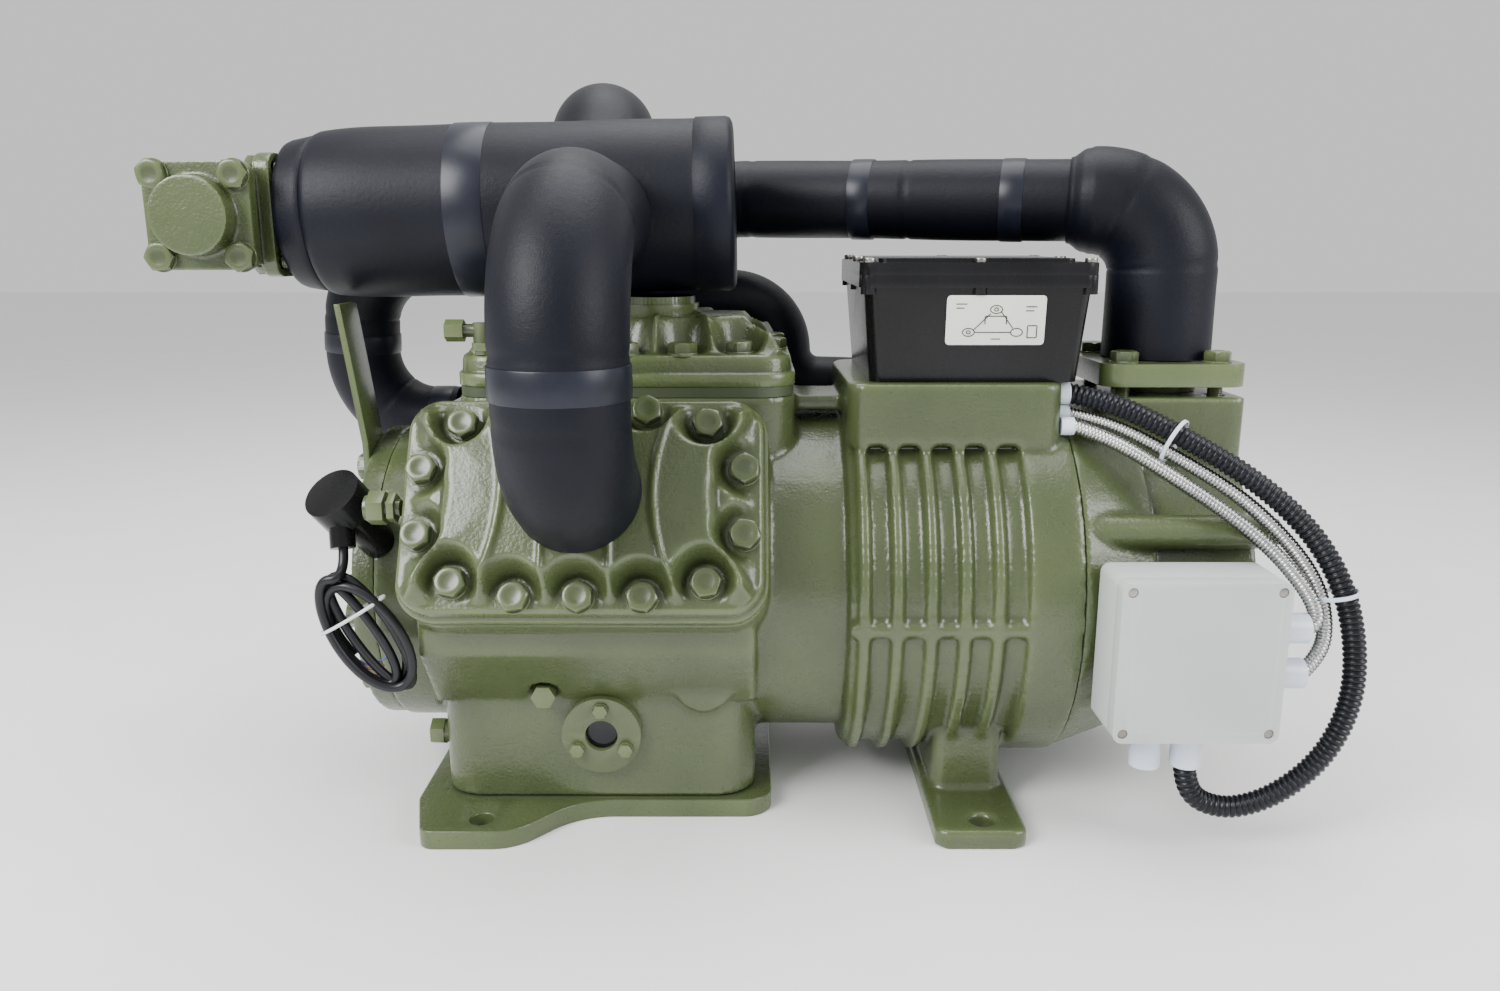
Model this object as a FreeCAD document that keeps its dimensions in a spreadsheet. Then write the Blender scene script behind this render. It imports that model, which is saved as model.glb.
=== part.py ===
import FreeCAD, Part
import math
import os
from FreeCAD import Placement, Rotation, Vector

# A semi-hermetic two-stage reciprocating refrigeration compressor: six cylinders in three banks over
# the crankcase, the motor in the same casting.  Millimetres, +Z up, +X along the shaft to the motor.
# Origin: centre of the four foundation holes, on the underside of the feet.

doc = FreeCAD.newDocument("compressor")
sheet = doc.addObject("Spreadsheet::Sheet", "dim")

SIZES = {
    # feet and foundation
    "hole_pitch_x": 381, "hole_pitch_y": 305, "hole_dia": 18, "foot_thick": 15,
    # crank gear
    "shaft_height": 170, "bank_angle": 60, "bore": 82, "stroke": 55, "rod_length": 106,
    "piston_crown": 24, "throw_gap": 110, "rod_pitch": 22, "crank_middle": -104, "rest_angle": 35,
    "journal_dia": 45, "pin_dia": 44, "wrist_dia": 20, "fit_gap": 0.06, "open_gap": 1.1,
    # cylinder banks
    "deck_reach": 158, "bank_length": 262, "bank_width": 164, "bank_corner": 28,
    "plate_thick": 8, "seat_reach": 190, "crown_reach": 218, "head_bolt_dia": 12, "head_hex": 11.3,
    # crankcase casting
    "boss_left": -271, "boss_radius": 124, "case_left": -229, "case_right": 18, "case_half": 120, "wall": 12,
    # motor end
    "barrel_height": 168, "barrel_left": 88, "barrel_right": 260, "barrel_radius": 144,
    "fin_radius": 151, "fin_pitch": 25, "fin_thick": 8, "motor_cavity": 127, "cover_right": 404,
    "neck_radius": 121, "rotor_radius": 66, "stator_inner": 67.2,
    # terminal box
    "base_top": 340, "box_left": 98, "box_right": 270, "box_half": 90, "box_top": 420,
    # suction header and its branches
    "header_left": -325, "header_right": 2, "header_z": 469.3, "header_tilt": 1.37,
    "header_foam": 134, "header_pipe": 89, "elbow_foam": 88, "elbow_pipe": 54,
    "riser_foam": 66, "riser_pipe": 42, "branch_foam": 56, "drop_foam": 86,
    "branch_x": 150, "branch_y": 125, "drop_x": 349,
    # suction valve
    "valve_x": -398, "valve_z": 463, "valve_square": 80, "line_bore": 54, "bracket_thick": 5,
    # junction box
    "junction_left": 269, "junction_width": 117, "junction_front": -200, "junction_depth": 52,
    "junction_low": 99, "junction_height": 118,
    # conduits and cable
    "black_dia": 16.5, "metal_dia": 11.5, "cable_dia": 7,
}
for row, (alias, size) in enumerate(SIZES.items(), start=1):
    sheet.set("A%d" % row, alias)
    sheet.set("B%d" % row, str(size))
    sheet.setAlias("B%d" % row, alias)
doc.recompute()

nodes = []


def value(alias):
    """The number that the sheet holds under a name."""
    return float(sheet.get(alias))


def shown(expression):
    """Write the sheet's names into an expression as dim.name."""
    text = str(expression)
    for alias in sorted(SIZES, key=len, reverse=True):
        text = text.replace("{" + alias + "}", "dim." + alias)
    return text


def shape(kind, name, at=(0, 0, 0), turn=(0, 0, 1, 0), **sizes):
    """One Part primitive whose sizes and place are expressions on the sheet."""
    thing = doc.addObject("Part::" + kind, name)
    thing.Placement = Placement(Vector(), Rotation(Vector(*turn[:3]), turn[3]))
    for axis, place in zip("xyz", at):
        thing.setExpression("Placement.Base." + axis, shown(place))
    for size, expression in sizes.items():
        if size == "Polygon":
            thing.Polygon = expression
        else:
            thing.setExpression(size, shown(expression))
    return thing


ALONG_X = (0, 1, 0, 90)
ALONG_Y = (1, 0, 0, -90)


def rod(name, x, y, z, radius, length, turn=(0, 0, 1, 0)):
    """A cylinder that starts at a point and runs along the turned Z axis."""
    return shape("Cylinder", name, (x, y, z), turn, Radius=radius, Height=length)


def hexagon(name, x, y, z, radius, length, turn=(0, 0, 1, 0)):
    """A hexagonal prism that starts at a point and runs along the turned Z axis."""
    return shape("Prism", name, (x, y, z), turn, Circumradius=radius, Height=length, Polygon=6)


def block(name, x, y, z, length, width, height):
    """A box from its lowest corner."""
    return shape("Box", name, (x, y, z), Length=length, Width=width, Height=height)


def rounded_block(name, x, y, z, length, width, height, radius):
    """A box with its four upright edges rounded."""
    body = block(name + "_box", x, y, z, length, width, height)
    soft = doc.addObject("Part::Fillet", name)
    soft.Base = body
    soft.Edges = [(edge, radius, radius) for edge in (1, 3, 5, 7)]
    return soft


def join(name, *things):
    """One solid made of touching solids."""
    whole = doc.addObject("Part::MultiFuse", name)
    whole.Shapes = list(things)
    whole.Refine = True
    return whole


def group(name, things):
    """A group of separate solids in one node."""
    whole = doc.addObject("Part::Compound", name)
    whole.Links = list(things)
    return whole


def cut(name, base, *tools):
    """A solid less one or more tools."""
    tool = tools[0]
    if len(tools) > 1:
        tool = doc.addObject("Part::MultiFuse", name + "_tools")
        tool.Shapes = list(tools)
    whole = doc.addObject("Part::Cut", name)
    whole.Base = base
    whole.Tool = tool
    whole.Refine = True
    return whole


def feature(name, solid):
    """A computed solid that no primitive gives."""
    thing = doc.addObject("Part::Feature", name)
    thing.Shape = solid
    thing.Placement = Placement()
    return thing


def node(name, thing):
    """Name a finished sub-part, which also names its file."""
    thing.Label = name
    nodes.append(thing)
    return thing


def bent_wire(points, radii):
    """Straight runs through the points, joined by tangent arcs of the given radii."""
    points = [Vector(*point) for point in points]
    edges = []
    start = points[0]
    for index in range(1, len(points) - 1):
        corner = points[index]
        back = (points[index - 1] - corner).normalize()
        ahead = (points[index + 1] - corner).normalize()
        half_turn = (math.pi - back.getAngle(ahead)) / 2
        radius = radii[index - 1]
        setback = radius * math.tan(half_turn)
        enter = corner + back * setback
        leave = corner + ahead * setback
        inward = (back + ahead).normalize()
        middle = corner + inward * (radius / math.cos(half_turn) - radius)
        edges.append(Part.LineSegment(start, enter).toShape())
        edges.append(Part.Arc(enter, middle, leave).toShape())
        start = leave
    edges.append(Part.LineSegment(start, points[-1]).toShape())
    return Part.Wire(edges)


def tube_along(wire, radius):
    """A round solid bar along a path of lines and tangent arcs."""
    first = wire.OrderedEdges[0]
    start = first.valueAt(first.FirstParameter)
    along = first.tangentAt(first.FirstParameter)
    ring = Part.Wire([Part.makeCircle(radius, start, along)])
    return wire.makePipeShell([ring], True, False)


def placed(thing, x, y, z, axis=(1, 0, 0), angle=0):
    """Turn and move a finished solid as a whole."""
    thing.Placement = Placement(Vector(x, y, z), Rotation(Vector(*axis), angle))
    return thing


# ---------------------------------------------------------------------------------------------
# Cylinder banks.  Each bank is drawn upright about the shaft axis, X measured from its own middle,
# then turned about the shaft.  Rods of the three banks sit side by side on each crank pin.

shaft_z = value("shaft_height")
BANKS = {
    "front": (value("crank_middle"), value("bank_angle")),
    "top": (value("crank_middle") + value("rod_pitch"), 0),
    "rear": (value("crank_middle") - value("rod_pitch"), -value("bank_angle")),
}
half_bank = value("bank_length") / 2
half_width = value("bank_width") / 2
HEAD_BOLTS = [(side * 87.5, edge * 58) for side in (-1, 1) for edge in (-1, 1)]
HEAD_BOLTS += [(side * 114, edge * 24) for side in (-1, 1) for edge in (-1, 1)]
HEAD_BOLTS += [(along, edge * 68) for along in (-44, 0, 44) for edge in (-1, 1)]


def on_bank(thing, bank):
    """Turn a piece drawn upright on to its cylinder bank."""
    middle, angle = BANKS[bank]
    return placed(thing, middle, 0, shaft_z, (1, 0, 0), angle)


def bank_slab(name, low, high, shrink=0):
    """A rounded slab of the bank's outline between two distances from the shaft."""
    length = "{bank_length} - %g" % (2 * shrink)
    width = "{bank_width} - %g" % (2 * shrink)
    x = "-{bank_length} / 2 + %g" % shrink
    y = "-{bank_width} / 2 + %g" % shrink
    thick = "%s - (%s)" % (high, low)
    return rounded_block(name, x, y, low, length, width, thick, value("bank_corner"))


def bank_holes(name, low, depth, radius):
    """The bolt holes of one bank, as a tool."""
    return group(name, [
        rod("%s_%d" % (name, index), along, across, low, radius, depth)
        for index, (along, across) in enumerate(HEAD_BOLTS)])


def bank_bores(name, low, high, radius):
    """The two cylinder bores of one bank, as a tool."""
    return group(name, [
        rod("%s_%d" % (name, index), "%d * {throw_gap} / 2" % side, 0, low, radius, "%s - (%s)" % (high, low))
        for index, side in enumerate((-1, 1))])


def make_head(bank):
    """A cast cylinder head: a bolted slab, a crown inside the bolt ring, and the gas space."""
    slab = bank_slab(bank + "_slab", "{deck_reach} + {plate_thick}", "{seat_reach}")
    crown = rounded_block(bank + "_crown", -98, -50, "{seat_reach} - 2", 196, 100,
                          "{crown_reach} - {seat_reach} + 2", 40)
    pieces = [slab, crown]
    for index, along in enumerate((-66, -22, 22, 66)):
        pieces.append(block("%s_rib_%d" % (bank, index), along - 3, -60, "{seat_reach} - 2", 6, 120, 22))
    solid = join(bank + "_head_solid", *pieces)
    space = rounded_block(bank + "_space", -90, -44, "{deck_reach} + {plate_thick} - 1", 180, 88,
                          "{crown_reach} - {deck_reach} - {plate_thick} - 7", 34)
    tools = [space, bank_holes(bank + "_head_holes", "{deck_reach}", 60, "{head_bolt_dia} / 2 + 0.5")]
    if bank != "top":
        tools.append(rod(bank + "_port", 0, 0, "{seat_reach}", "{elbow_pipe} / 2", 60))
    head = cut(bank + "_head", solid, *tools)
    return node(bank + "_head", on_bank(head, bank))


def make_valve_plate(bank):
    """The plate with its gaskets between head and deck, with a port over each bore."""
    plate = bank_slab(bank + "_plate_slab", "{deck_reach}", "{deck_reach} + {plate_thick}", 1)
    ports = bank_bores(bank + "_plate_ports", "{deck_reach} - 1", "{deck_reach} + {plate_thick} + 1", 12)
    holes = bank_holes(bank + "_plate_holes", "{deck_reach} - 1", 12, "{head_bolt_dia} / 2 + 0.5")
    return on_bank(cut(bank + "_plate", plate, ports, holes), bank)


def make_bolt(name, x, y, seat, shank, radius, hex_radius, head, turn=(0, 0, 1, 0), collar=1.35):
    """A hexagon bolt: collar and head above the seat, shank below it, drawn along +Z at its seat."""
    pieces = [
        rod(name + "_shank", x, y, "%s - %g" % (seat, shank), radius, shank + 1),
        rod(name + "_collar", x, y, seat, "%s * %g" % (hex_radius, collar * 0.866), 2),
        hexagon(name + "_hex", x, y, "%s + 1" % seat, hex_radius, head - 1),
    ]
    return join(name, *pieces)


for bank in BANKS:
    make_head(bank)
node("valve_plates", group("valve_plates", [make_valve_plate(bank) for bank in BANKS]))

head_bolts = []
for bank in BANKS:
    bolts = group("bolts_" + bank, [
        make_bolt("head_bolt_%s_%d" % (bank, index), along, across, "{seat_reach}", 55,
                  "{head_bolt_dia} / 2", "{head_hex}", 9, collar=1.1)
        for index, (along, across) in enumerate(HEAD_BOLTS)])
    head_bolts.append(on_bank(bolts, bank))
node("head_bolts", group("head_bolts", head_bolts))

# ---------------------------------------------------------------------------------------------
# Housing: crankcase, bank towers, neck, motor barrel with ribs, terminal base, lifting bridge and
# motor foot are one casting.

COVER_RING_RADIUS = 104
COVER_RING = [(COVER_RING_RADIUS * math.sin(math.radians(angle)),
               shaft_z + COVER_RING_RADIUS * math.cos(math.radians(angle))) for angle in range(14, 374, 36)]
FRONT_PLUG = (-144, 105)
GLASS = (-101, 72)

outer = [rounded_block("case_low", "{case_left}", "-{case_half}", "{foot_thick} + 1",
                       "{case_right} - {case_left}", "2 * {case_half}", 110, 30)]
half_flare = [(118, 96), (158, 150), (158, 200), (80, 318)]
flare_points = [(-y, z) for y, z in half_flare] + half_flare[::-1]
flare_body = doc.addObject("PartDesign::Body", "flare")
flare_plane = next(item for item in flare_body.Origin.OriginFeatures if item.Role == "YZ_Plane")
flare_sketch = flare_body.newObject("Sketcher::SketchObject", "flare_outline")
flare_sketch.AttachmentSupport = [(flare_plane, "")]
flare_sketch.MapMode = "FlatFace"
for first, second in zip(flare_points, flare_points[1:] + flare_points[:1]):
    flare_sketch.addGeometry(Part.LineSegment(Vector(*first, 0), Vector(*second, 0)), False)
flare_pad = flare_body.newObject("PartDesign::Pad", "flare_pad")
flare_pad.Profile = flare_sketch
flare_pad.setExpression("Length", shown("{case_right} - {case_left}"))
flare_body.setExpression("Placement.Base.x", shown("{case_left}"))
outer.append(flare_body)
for bank in BANKS:
    outer.append(on_bank(bank_slab(bank + "_tower", "60", "{deck_reach}"), bank))
outer.append(rod("neck", 0, 0, "{shaft_height}", "{neck_radius}", "{barrel_left} + 20", ALONG_X))
outer.append(rod("barrel", "{barrel_left}", 0, "{barrel_height}", "{barrel_radius}",
                 "{barrel_right} - {barrel_left}", ALONG_X))
outer.append(rod("barrel_rim", "{barrel_right} - 40", 0, "{barrel_height}", "{fin_radius}", 40, ALONG_X))
for index in range(5):
    outer.append(rod("fin_%d" % index, "{barrel_left} + 6 + %d * {fin_pitch}" % index, 0,
                     "{barrel_height}", "{fin_radius}", "{fin_thick}", ALONG_X))
outer.append(block("side_rib", "{barrel_left}", "-{fin_radius} + 1", "{barrel_height} - 9",
                   "{barrel_right} - {barrel_left} - 20", "2 * {fin_radius} - 2", 9))
outer.append(rounded_block("terminal_base", 88, -93, 292, 164, 186, "{base_top} - 292", 16))
outer.append(block("lifting_bridge", 44, -35, 312, 50, 70, 11))
outer.append(rounded_block("foot_pedestal", 160, -107, "{foot_thick} - 1", 54, 214, 60, 10))
outer.append(rounded_block("motor_foot", 153, -172, 0, 70, 344, "{foot_thick}", 11))
outer.append(rod("end_boss", "{boss_left}", 0, "{shaft_height}", "{boss_radius}", 60, ALONG_X))
outer.append(rod("branch_boss", "{branch_x}", "{branch_y}", 190, 24, 80))
outer.append(rod("front_pad", -22, "-{case_half} - 7", 112, 22, 30, ALONG_Y))
casting = join("casting", *outer)

hollow = [
    rod("crank_room", "{case_left} + {wall}", 0, "{shaft_height}", 86, 218, ALONG_X),
    block("sump", "{case_left} + {wall}", "-{case_half} + {wall}", "{foot_thick}", 220,
          "2 * {case_half} - 2 * {wall}", 80),
    rod("end_window", "{boss_left} - 1", 0, "{shaft_height}", 80, 70, ALONG_X),
    rod("branch_bore", "{branch_x}", "{branch_y}", 200, 18, 80),
    rod("motor_room", 46, 0, "{barrel_height}", "{neck_radius} - 18", 60, ALONG_X),
    rod("stator_room", "{barrel_left} + 12", 0, "{barrel_height}", "{motor_cavity}", 200, ALONG_X),
    rod("bearing_bore", 0, 0, "{shaft_height}", 32, 60, ALONG_X),
    block("terminal_opening", 125, -45, 290, 90, 90, 60),
]
for bank in BANKS:
    hollow.append(on_bank(bank_bores(bank + "_bores", "54", "{deck_reach} + 1", "{bore} / 2"), bank))
    hollow.append(on_bank(bank_holes(bank + "_deck_holes", "{deck_reach} - 30", 31,
                                     "{head_bolt_dia} / 2 + 0.2"), bank))
for side in (-1, 1):
    hollow.append(rod("motor_foot_hole_%d" % (side + 1), "{hole_pitch_x} / 2",
                      "%d * {hole_pitch_y} / 2" % side, -1, "{hole_dia} / 2", 20))
hollow.append(rod("glass_seat", GLASS[0], "-{case_half} - 5", GLASS[1], 14, 30, ALONG_Y))
hollow.append(rod("glass_spot_face", GLASS[0], "-{case_half} - 30", GLASS[1], 31.5, 30, ALONG_Y))
hollow.append(rod("plug_spot_face", FRONT_PLUG[0], "-{case_half} - 30", FRONT_PLUG[1], 12, 30, ALONG_Y))
for index, (y, z) in enumerate(COVER_RING):
    hollow.append(rod("boss_hole_%d" % index, "{boss_left} - 1", y, z, 6.2, 26, ALONG_X))
node("housing", cut("housing", casting, *hollow))

# Bottom plate with the two crank-end feet: half of its outline is drawn and mirrored.

HALF_OUTLINE = [(31, -123, 22), (-120, -123, 60), (-163, -172, 40), (-233, -172, 12), (-248, -120, 30)]


def rounded_outline(points, height=0):
    """A closed outline through the points (x, y, corner radius), each corner rounded by its radius."""
    corners = [Vector(x, y, height) for x, y, corner in points]
    count = len(points)
    edges = []
    joints = []
    for index, (x, y, radius) in enumerate(points):
        corner = corners[index]
        back = (corners[index - 1] - corner).normalize()
        ahead = (corners[(index + 1) % count] - corner).normalize()
        half_turn = (math.pi - back.getAngle(ahead)) / 2
        setback = radius * math.tan(half_turn)
        enter = corner + back * setback
        leave = corner + ahead * setback
        middle = corner
        if radius:
            inward = (back + ahead).normalize()
            middle = corner + inward * (radius / math.cos(half_turn) - radius)
        joints.append((enter, middle, leave, radius))
    for index, (enter, middle, leave, radius) in enumerate(joints):
        if radius:
            edges.append(Part.Arc(enter, middle, leave).toShape())
        following = joints[(index + 1) % count][0]
        edges.append(Part.LineSegment(leave, following).toShape())
    return Part.Wire(edges)


mirrored = [(x, -y, corner) for x, y, corner in reversed(HALF_OUTLINE)]
plate_wire = rounded_outline(HALF_OUTLINE + mirrored)
plate_blank = feature("plate_blank", Part.Face(plate_wire).extrude(Vector(0, 0, value("foot_thick"))))
plate_tools = [
    rod("case_foot_hole_%d" % (side + 1), "-{hole_pitch_x} / 2", "%d * {hole_pitch_y} / 2" % side, -1,
        "{hole_dia} / 2", 20)
    for side in (-1, 1)]
node("bottom_plate", cut("bottom_plate", plate_blank, *plate_tools))
gasket = rounded_block("gasket_blank", "{case_left}", "-{case_half}", "{foot_thick}",
                       "{case_right} - {case_left}", "2 * {case_half}", 1, 30)
gasket_hole = block("gasket_hole", "{case_left} + {wall}", "-{case_half} + {wall}", "{foot_thick} - 1", 220,
                    "2 * {case_half} - 2 * {wall}", 4)
node("bottom_gasket", cut("bottom_gasket", gasket, gasket_hole))

# ---------------------------------------------------------------------------------------------
# Crank gear: the shaft with its rotor, six rods on two pins, six pistons with their wrist pins.

rest = math.radians(value("rest_angle"))
throw = value("stroke") / 2
half_gap = value("throw_gap") / 2
THROWS = {0: (value("crank_middle") - half_gap, rest), 1: (value("crank_middle") + half_gap, rest + math.pi)}


def pin_place(side):
    """Y and Z of a crank pin's axis from the shaft axis."""
    angle = THROWS[side][1]
    return -throw * math.sin(angle), throw * math.cos(angle)


shaft = [rod("shaft_left", -262, 0, "{shaft_height}", "{journal_dia} / 2", 56, ALONG_X),
         rod("shaft_between", -112, 0, "{shaft_height}", "{journal_dia} / 2", 16, ALONG_X),
         rod("shaft_right", -2, 0, "{shaft_height}", "{journal_dia} / 2", 250, ALONG_X)]
for side, (middle, angle) in THROWS.items():
    pin_y, pin_z = pin_place(side)
    pin_x = middle - 35
    shaft.append(rod("crank_pin_%d" % side, pin_x, pin_y, shaft_z + pin_z, "{pin_dia} / 2", 70, ALONG_X))
    for web, x in enumerate((middle - 48, middle + 34)):
        shaft.append(rod("web_%d_%d" % (side, web), x, 0, "{shaft_height}", 48, 14, ALONG_X))
        shaft.append(rod("cheek_%d_%d" % (side, web), x, pin_y, shaft_z + pin_z, 30, 14, ALONG_X))
node("crankshaft", join("crankshaft", *shaft))
rotor_bore = rod("rotor_bore", 120, 0, "{shaft_height}", "{journal_dia} / 2 + 0.03", 140, ALONG_X)
rotor_blank = rod("rotor_blank", 128, 0, "{shaft_height}", "{rotor_radius}", 112, ALONG_X)
rotor_core = cut("rotor_core", rotor_blank, rotor_bore)
rotor_washer = rod("rotor_washer", 248, 0, "{shaft_height}", 28, 4, ALONG_X)
rotor_hex = hexagon("rotor_hex", 251, 0, "{shaft_height}", 17, 11, ALONG_X)
node("rotor", group("rotor", [rotor_core, join("rotor_bolt", rotor_washer, rotor_hex)]))

cylinder = 0
for side, (throw_middle, angle) in THROWS.items():
    pin_y, pin_z = pin_place(side)
    for bank, (bank_middle, bank_degrees) in BANKS.items():
        cylinder += 1
        offset = angle - math.radians(bank_degrees)
        lean = -math.asin(throw * math.sin(offset) / value("rod_length"))
        reach = throw * math.cos(offset) + value("rod_length") * math.cos(lean)
        x = bank_middle - half_gap if side == 0 else bank_middle + half_gap
        name = "con_rod_%d" % cylinder
        big = rod(name + "_big", -10, 0, 0, 33, 20, ALONG_X)
        small = rod(name + "_small", -10, 0, "{rod_length}", 17, 20, ALONG_X)
        shank = block(name + "_shank", -6, -10, 26, 12, 20, "{rod_length} - 38")
        big_hole = rod(name + "_pin_hole", -12, 0, 0, "{pin_dia} / 2 + {fit_gap}", 24, ALONG_X)
        small_hole = rod(name + "_wrist_hole", -12, 0, "{rod_length}", "{wrist_dia} / 2 + {open_gap}", 24,
                         ALONG_X)
        solid = join(name + "_solid", big, small, shank)
        rod_piece = cut(name, solid, big_hole, small_hole)
        placed(rod_piece, x, pin_y, shaft_z + pin_z, (1, 0, 0), bank_degrees + math.degrees(lean))
        node(name, rod_piece)

        name = "piston_%d" % cylinder
        blank = rod(name + "_blank", 0, 0, -12.8, "{bore} / 2 - {fit_gap}", "{piston_crown} + 12.8")
        slot = block(name + "_slot", -11.5, -34, -20, 23, 68, 38.5)
        hole = rod(name + "_hole", -50, 0, 0, "{wrist_dia} / 2", 100, ALONG_X)
        wrist = rod("wrist_%d" % cylinder, -30, 0, 0, "{wrist_dia} / 2 - 0.02", 60, ALONG_X)
        piston = group(name + "_set", [cut(name + "_crown", blank, slot, hole), wrist])
        bank_turn = math.radians(bank_degrees)
        placed(piston, x, -reach * math.sin(bank_turn), shaft_z + reach * math.cos(bank_turn),
               (1, 0, 0), bank_degrees)
        node(name, piston)
        print("cylinder %d %s: lean %.3f reach %.3f" % (cylinder, bank, math.degrees(lean), reach))

# ---------------------------------------------------------------------------------------------
# Bearings, the crank-end cover with its oil pump, and the motor.


def bush(name, x, length, outer):
    """A plain bearing bush round the shaft."""
    blank = rod(name + "_blank", x, 0, "{shaft_height}", outer, length, ALONG_X)
    inner = "{journal_dia} / 2 + {fit_gap}"
    return cut(name, blank, rod(name + "_hole", x - 1, 0, "{shaft_height}", inner, length + 2, ALONG_X))


bushes = [bush("bush_left", -264, 46, 29.98), bush("bush_right", 2, 42, 31.98)]
node("main_bearings", group("main_bearings", bushes))
cover_parts = [
    rod("cover_disc", "{boss_left} - 17", 0, "{shaft_height}", "{boss_radius} - 2", 17, ALONG_X),
    rod("cover_spigot", "{boss_left} - 1", 0, "{shaft_height}", 79.9, 18, ALONG_X),
    rod("cover_hub", "{boss_left}", 0, "{shaft_height}", 42, 54, ALONG_X),
]
cover_tools = [rod("cover_bore", "{boss_left} + 5", 0, "{shaft_height}", 30, 60, ALONG_X)]
for index, (y, z) in enumerate(COVER_RING):
    cover_tools.append(rod("cover_hole_%d" % index, "{boss_left} - 30", y, z, 6.5, 60, ALONG_X))
node("bearing_cover", cut("bearing_cover", join("cover_solid", *cover_parts), *cover_tools))
pump_parts = [
    rod("pump_disc", -312, 0, "{shaft_height}", 46, 24, ALONG_X),
    rod("pump_boss", -318, -22, 158, 15, 30, ALONG_X),
    hexagon("pump_plug", -326, -22, 158, 12.5, 9, ALONG_X),
]
node("oil_pump", join("oil_pump", *pump_parts))

stator_blank = rod("stator_blank", 125, 0, "{barrel_height} + 2", "{motor_cavity} - 2.5", 118, ALONG_X)
stator_hole = rod("stator_hole", 120, 0, "{shaft_height}", "{stator_inner}", 130, ALONG_X)
node("stator", cut("stator", stator_blank, stator_hole))
windings = []
for index, (x, length) in enumerate(((103, 22), (243, 22))):
    ring = rod("winding_ring_%d" % index, x, 0, "{shaft_height}", 108, length, ALONG_X)
    hole = rod("winding_hole_%d" % index, x - 1, 0, "{shaft_height}", 74, length + 2, ALONG_X)
    windings.append(cut("winding_%d" % index, ring, hole))
node("windings", group("windings", windings))

cone = shape("Cone", "motor_cone", ("{barrel_right}", 0, "{barrel_height}"), ALONG_X,
             Radius1="{fin_radius} - 2", Radius2=128, Height=60)
motor_parts = [
    cone,
    rod("motor_dome", "{barrel_right} + 58", 0, "{barrel_height}", 118, "{cover_right} - {barrel_right} - 62",
        ALONG_X),
    rounded_block("motor_block", 285, -62, 200, 118, 124, 125, 10),
    rounded_block("motor_step", 392, -40, 230, 13, 80, 76, 4),
    block("junction_lug", 300, "{junction_front} + {junction_depth} + 0.1", 120, 56, 44, 76),
]
MOTOR_BOLTS = [(y, z) for z in (232, 104) for y in (-118, 118)]
for index, (y, z) in enumerate(MOTOR_BOLTS):
    motor_parts.append(rod("motor_rib_%d" % index, "{barrel_right}", y, z, 13, 140, ALONG_X))
for index, z in enumerate((150, 190)):
    motor_parts.append(block("motor_web_%d" % index, 300, -132, z, 100, 264, 8))
motor_tools = [
    rod("motor_hollow", "{barrel_right} - 1", 0, "{barrel_height}", 105, 125, ALONG_X),
    rod("motor_mouth", "{barrel_right} - 1", 0, "{barrel_height}", 116, 54, ALONG_X),
    rod("motor_inlet", 349, 0, 200, 30, 140),
]
for index, (y, z) in enumerate(MOTOR_BOLTS):
    motor_tools.append(rod("motor_bolt_hole_%d" % index, 372, y, z, 6.2, 30, ALONG_X))
for side in (-1, 1):
    for edge in (-1, 1):
        motor_tools.append(rod("inlet_hole_%d%d" % (side + 1, edge + 1), "{drop_x} + %g" % (side * 37 - 2),
                               edge * 42, 290, 6.5, 40))
motor_shell = join("motor_solid", *motor_parts)
for index, tool in enumerate(motor_tools):
    motor_shell = cut("motor_shell_%d" % index, motor_shell, tool)
node("motor_cover", motor_shell)

flange_parts = [
    rounded_block("flange_plate", 290, -60, 333, 114, 120, 18, 16),
    rod("flange_spigot", "{drop_x}", 0, 325, 33, 9),
]
flange_tools = [rod("flange_bore", "{drop_x}", 0, 320, "{riser_pipe} / 2 + 0.1", 40)]
inlet_bolts = []
for side in (-1, 1):
    for edge in (-1, 1):
        x = "{drop_x} + %g" % (side * 37 - 2)
        tag = "%d%d" % (side + 1, edge + 1)
        flange_tools.append(rod("flange_hole_" + tag, x, edge * 42, 320, 6.5, 40))
        inlet_bolts.append(make_bolt("inlet_bolt_" + tag, x, edge * 42, "351", 45, 6, 11, 9, collar=1.0))
node("motor_flange", cut("motor_flange", join("flange_solid", *flange_parts), *flange_tools))

end_bolts = []
cover_face = value("boss_left") - 17
bracket_bolt = COVER_RING[9]
for index, (y, z) in enumerate(COVER_RING):
    seat = cover_face - (value("bracket_thick") if (y, z) == bracket_bolt else 0)
    bolt = make_bolt("cover_bolt_%d" % index, 0, 0, "0", 40, 6, 11, 9, collar=1.1)
    end_bolts.append(placed(bolt, seat, y, z, (0, 1, 0), -90))
for index, (y, z) in enumerate(MOTOR_BOLTS):
    bolt = make_bolt("motor_bolt_%d" % index, 0, 0, "0", 25, 6, 11, 9, collar=1.1)
    end_bolts.append(placed(bolt, 400, y, z, (0, 1, 0), 90))
node("cover_bolts", group("cover_bolts", end_bolts))

# ---------------------------------------------------------------------------------------------
# Terminal box on the motor: a drawn tub with a bolted lid, pan screws and a plain label.


def tapered_tub(name, low, high, narrow, wide, corner):
    """A solid that widens from a low rounded rectangle to a high one."""
    rings = []
    for height, inset in ((low, narrow), (high, wide)):
        left, right = value("box_left") + inset, value("box_right") - inset
        half = value("box_half") - inset
        rings.append(rounded_outline([(left, -half, corner), (right, -half, corner), (right, half, corner),
                                      (left, half, corner)], height))
    return feature(name, Part.makeLoft(rings, True, True))


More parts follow.
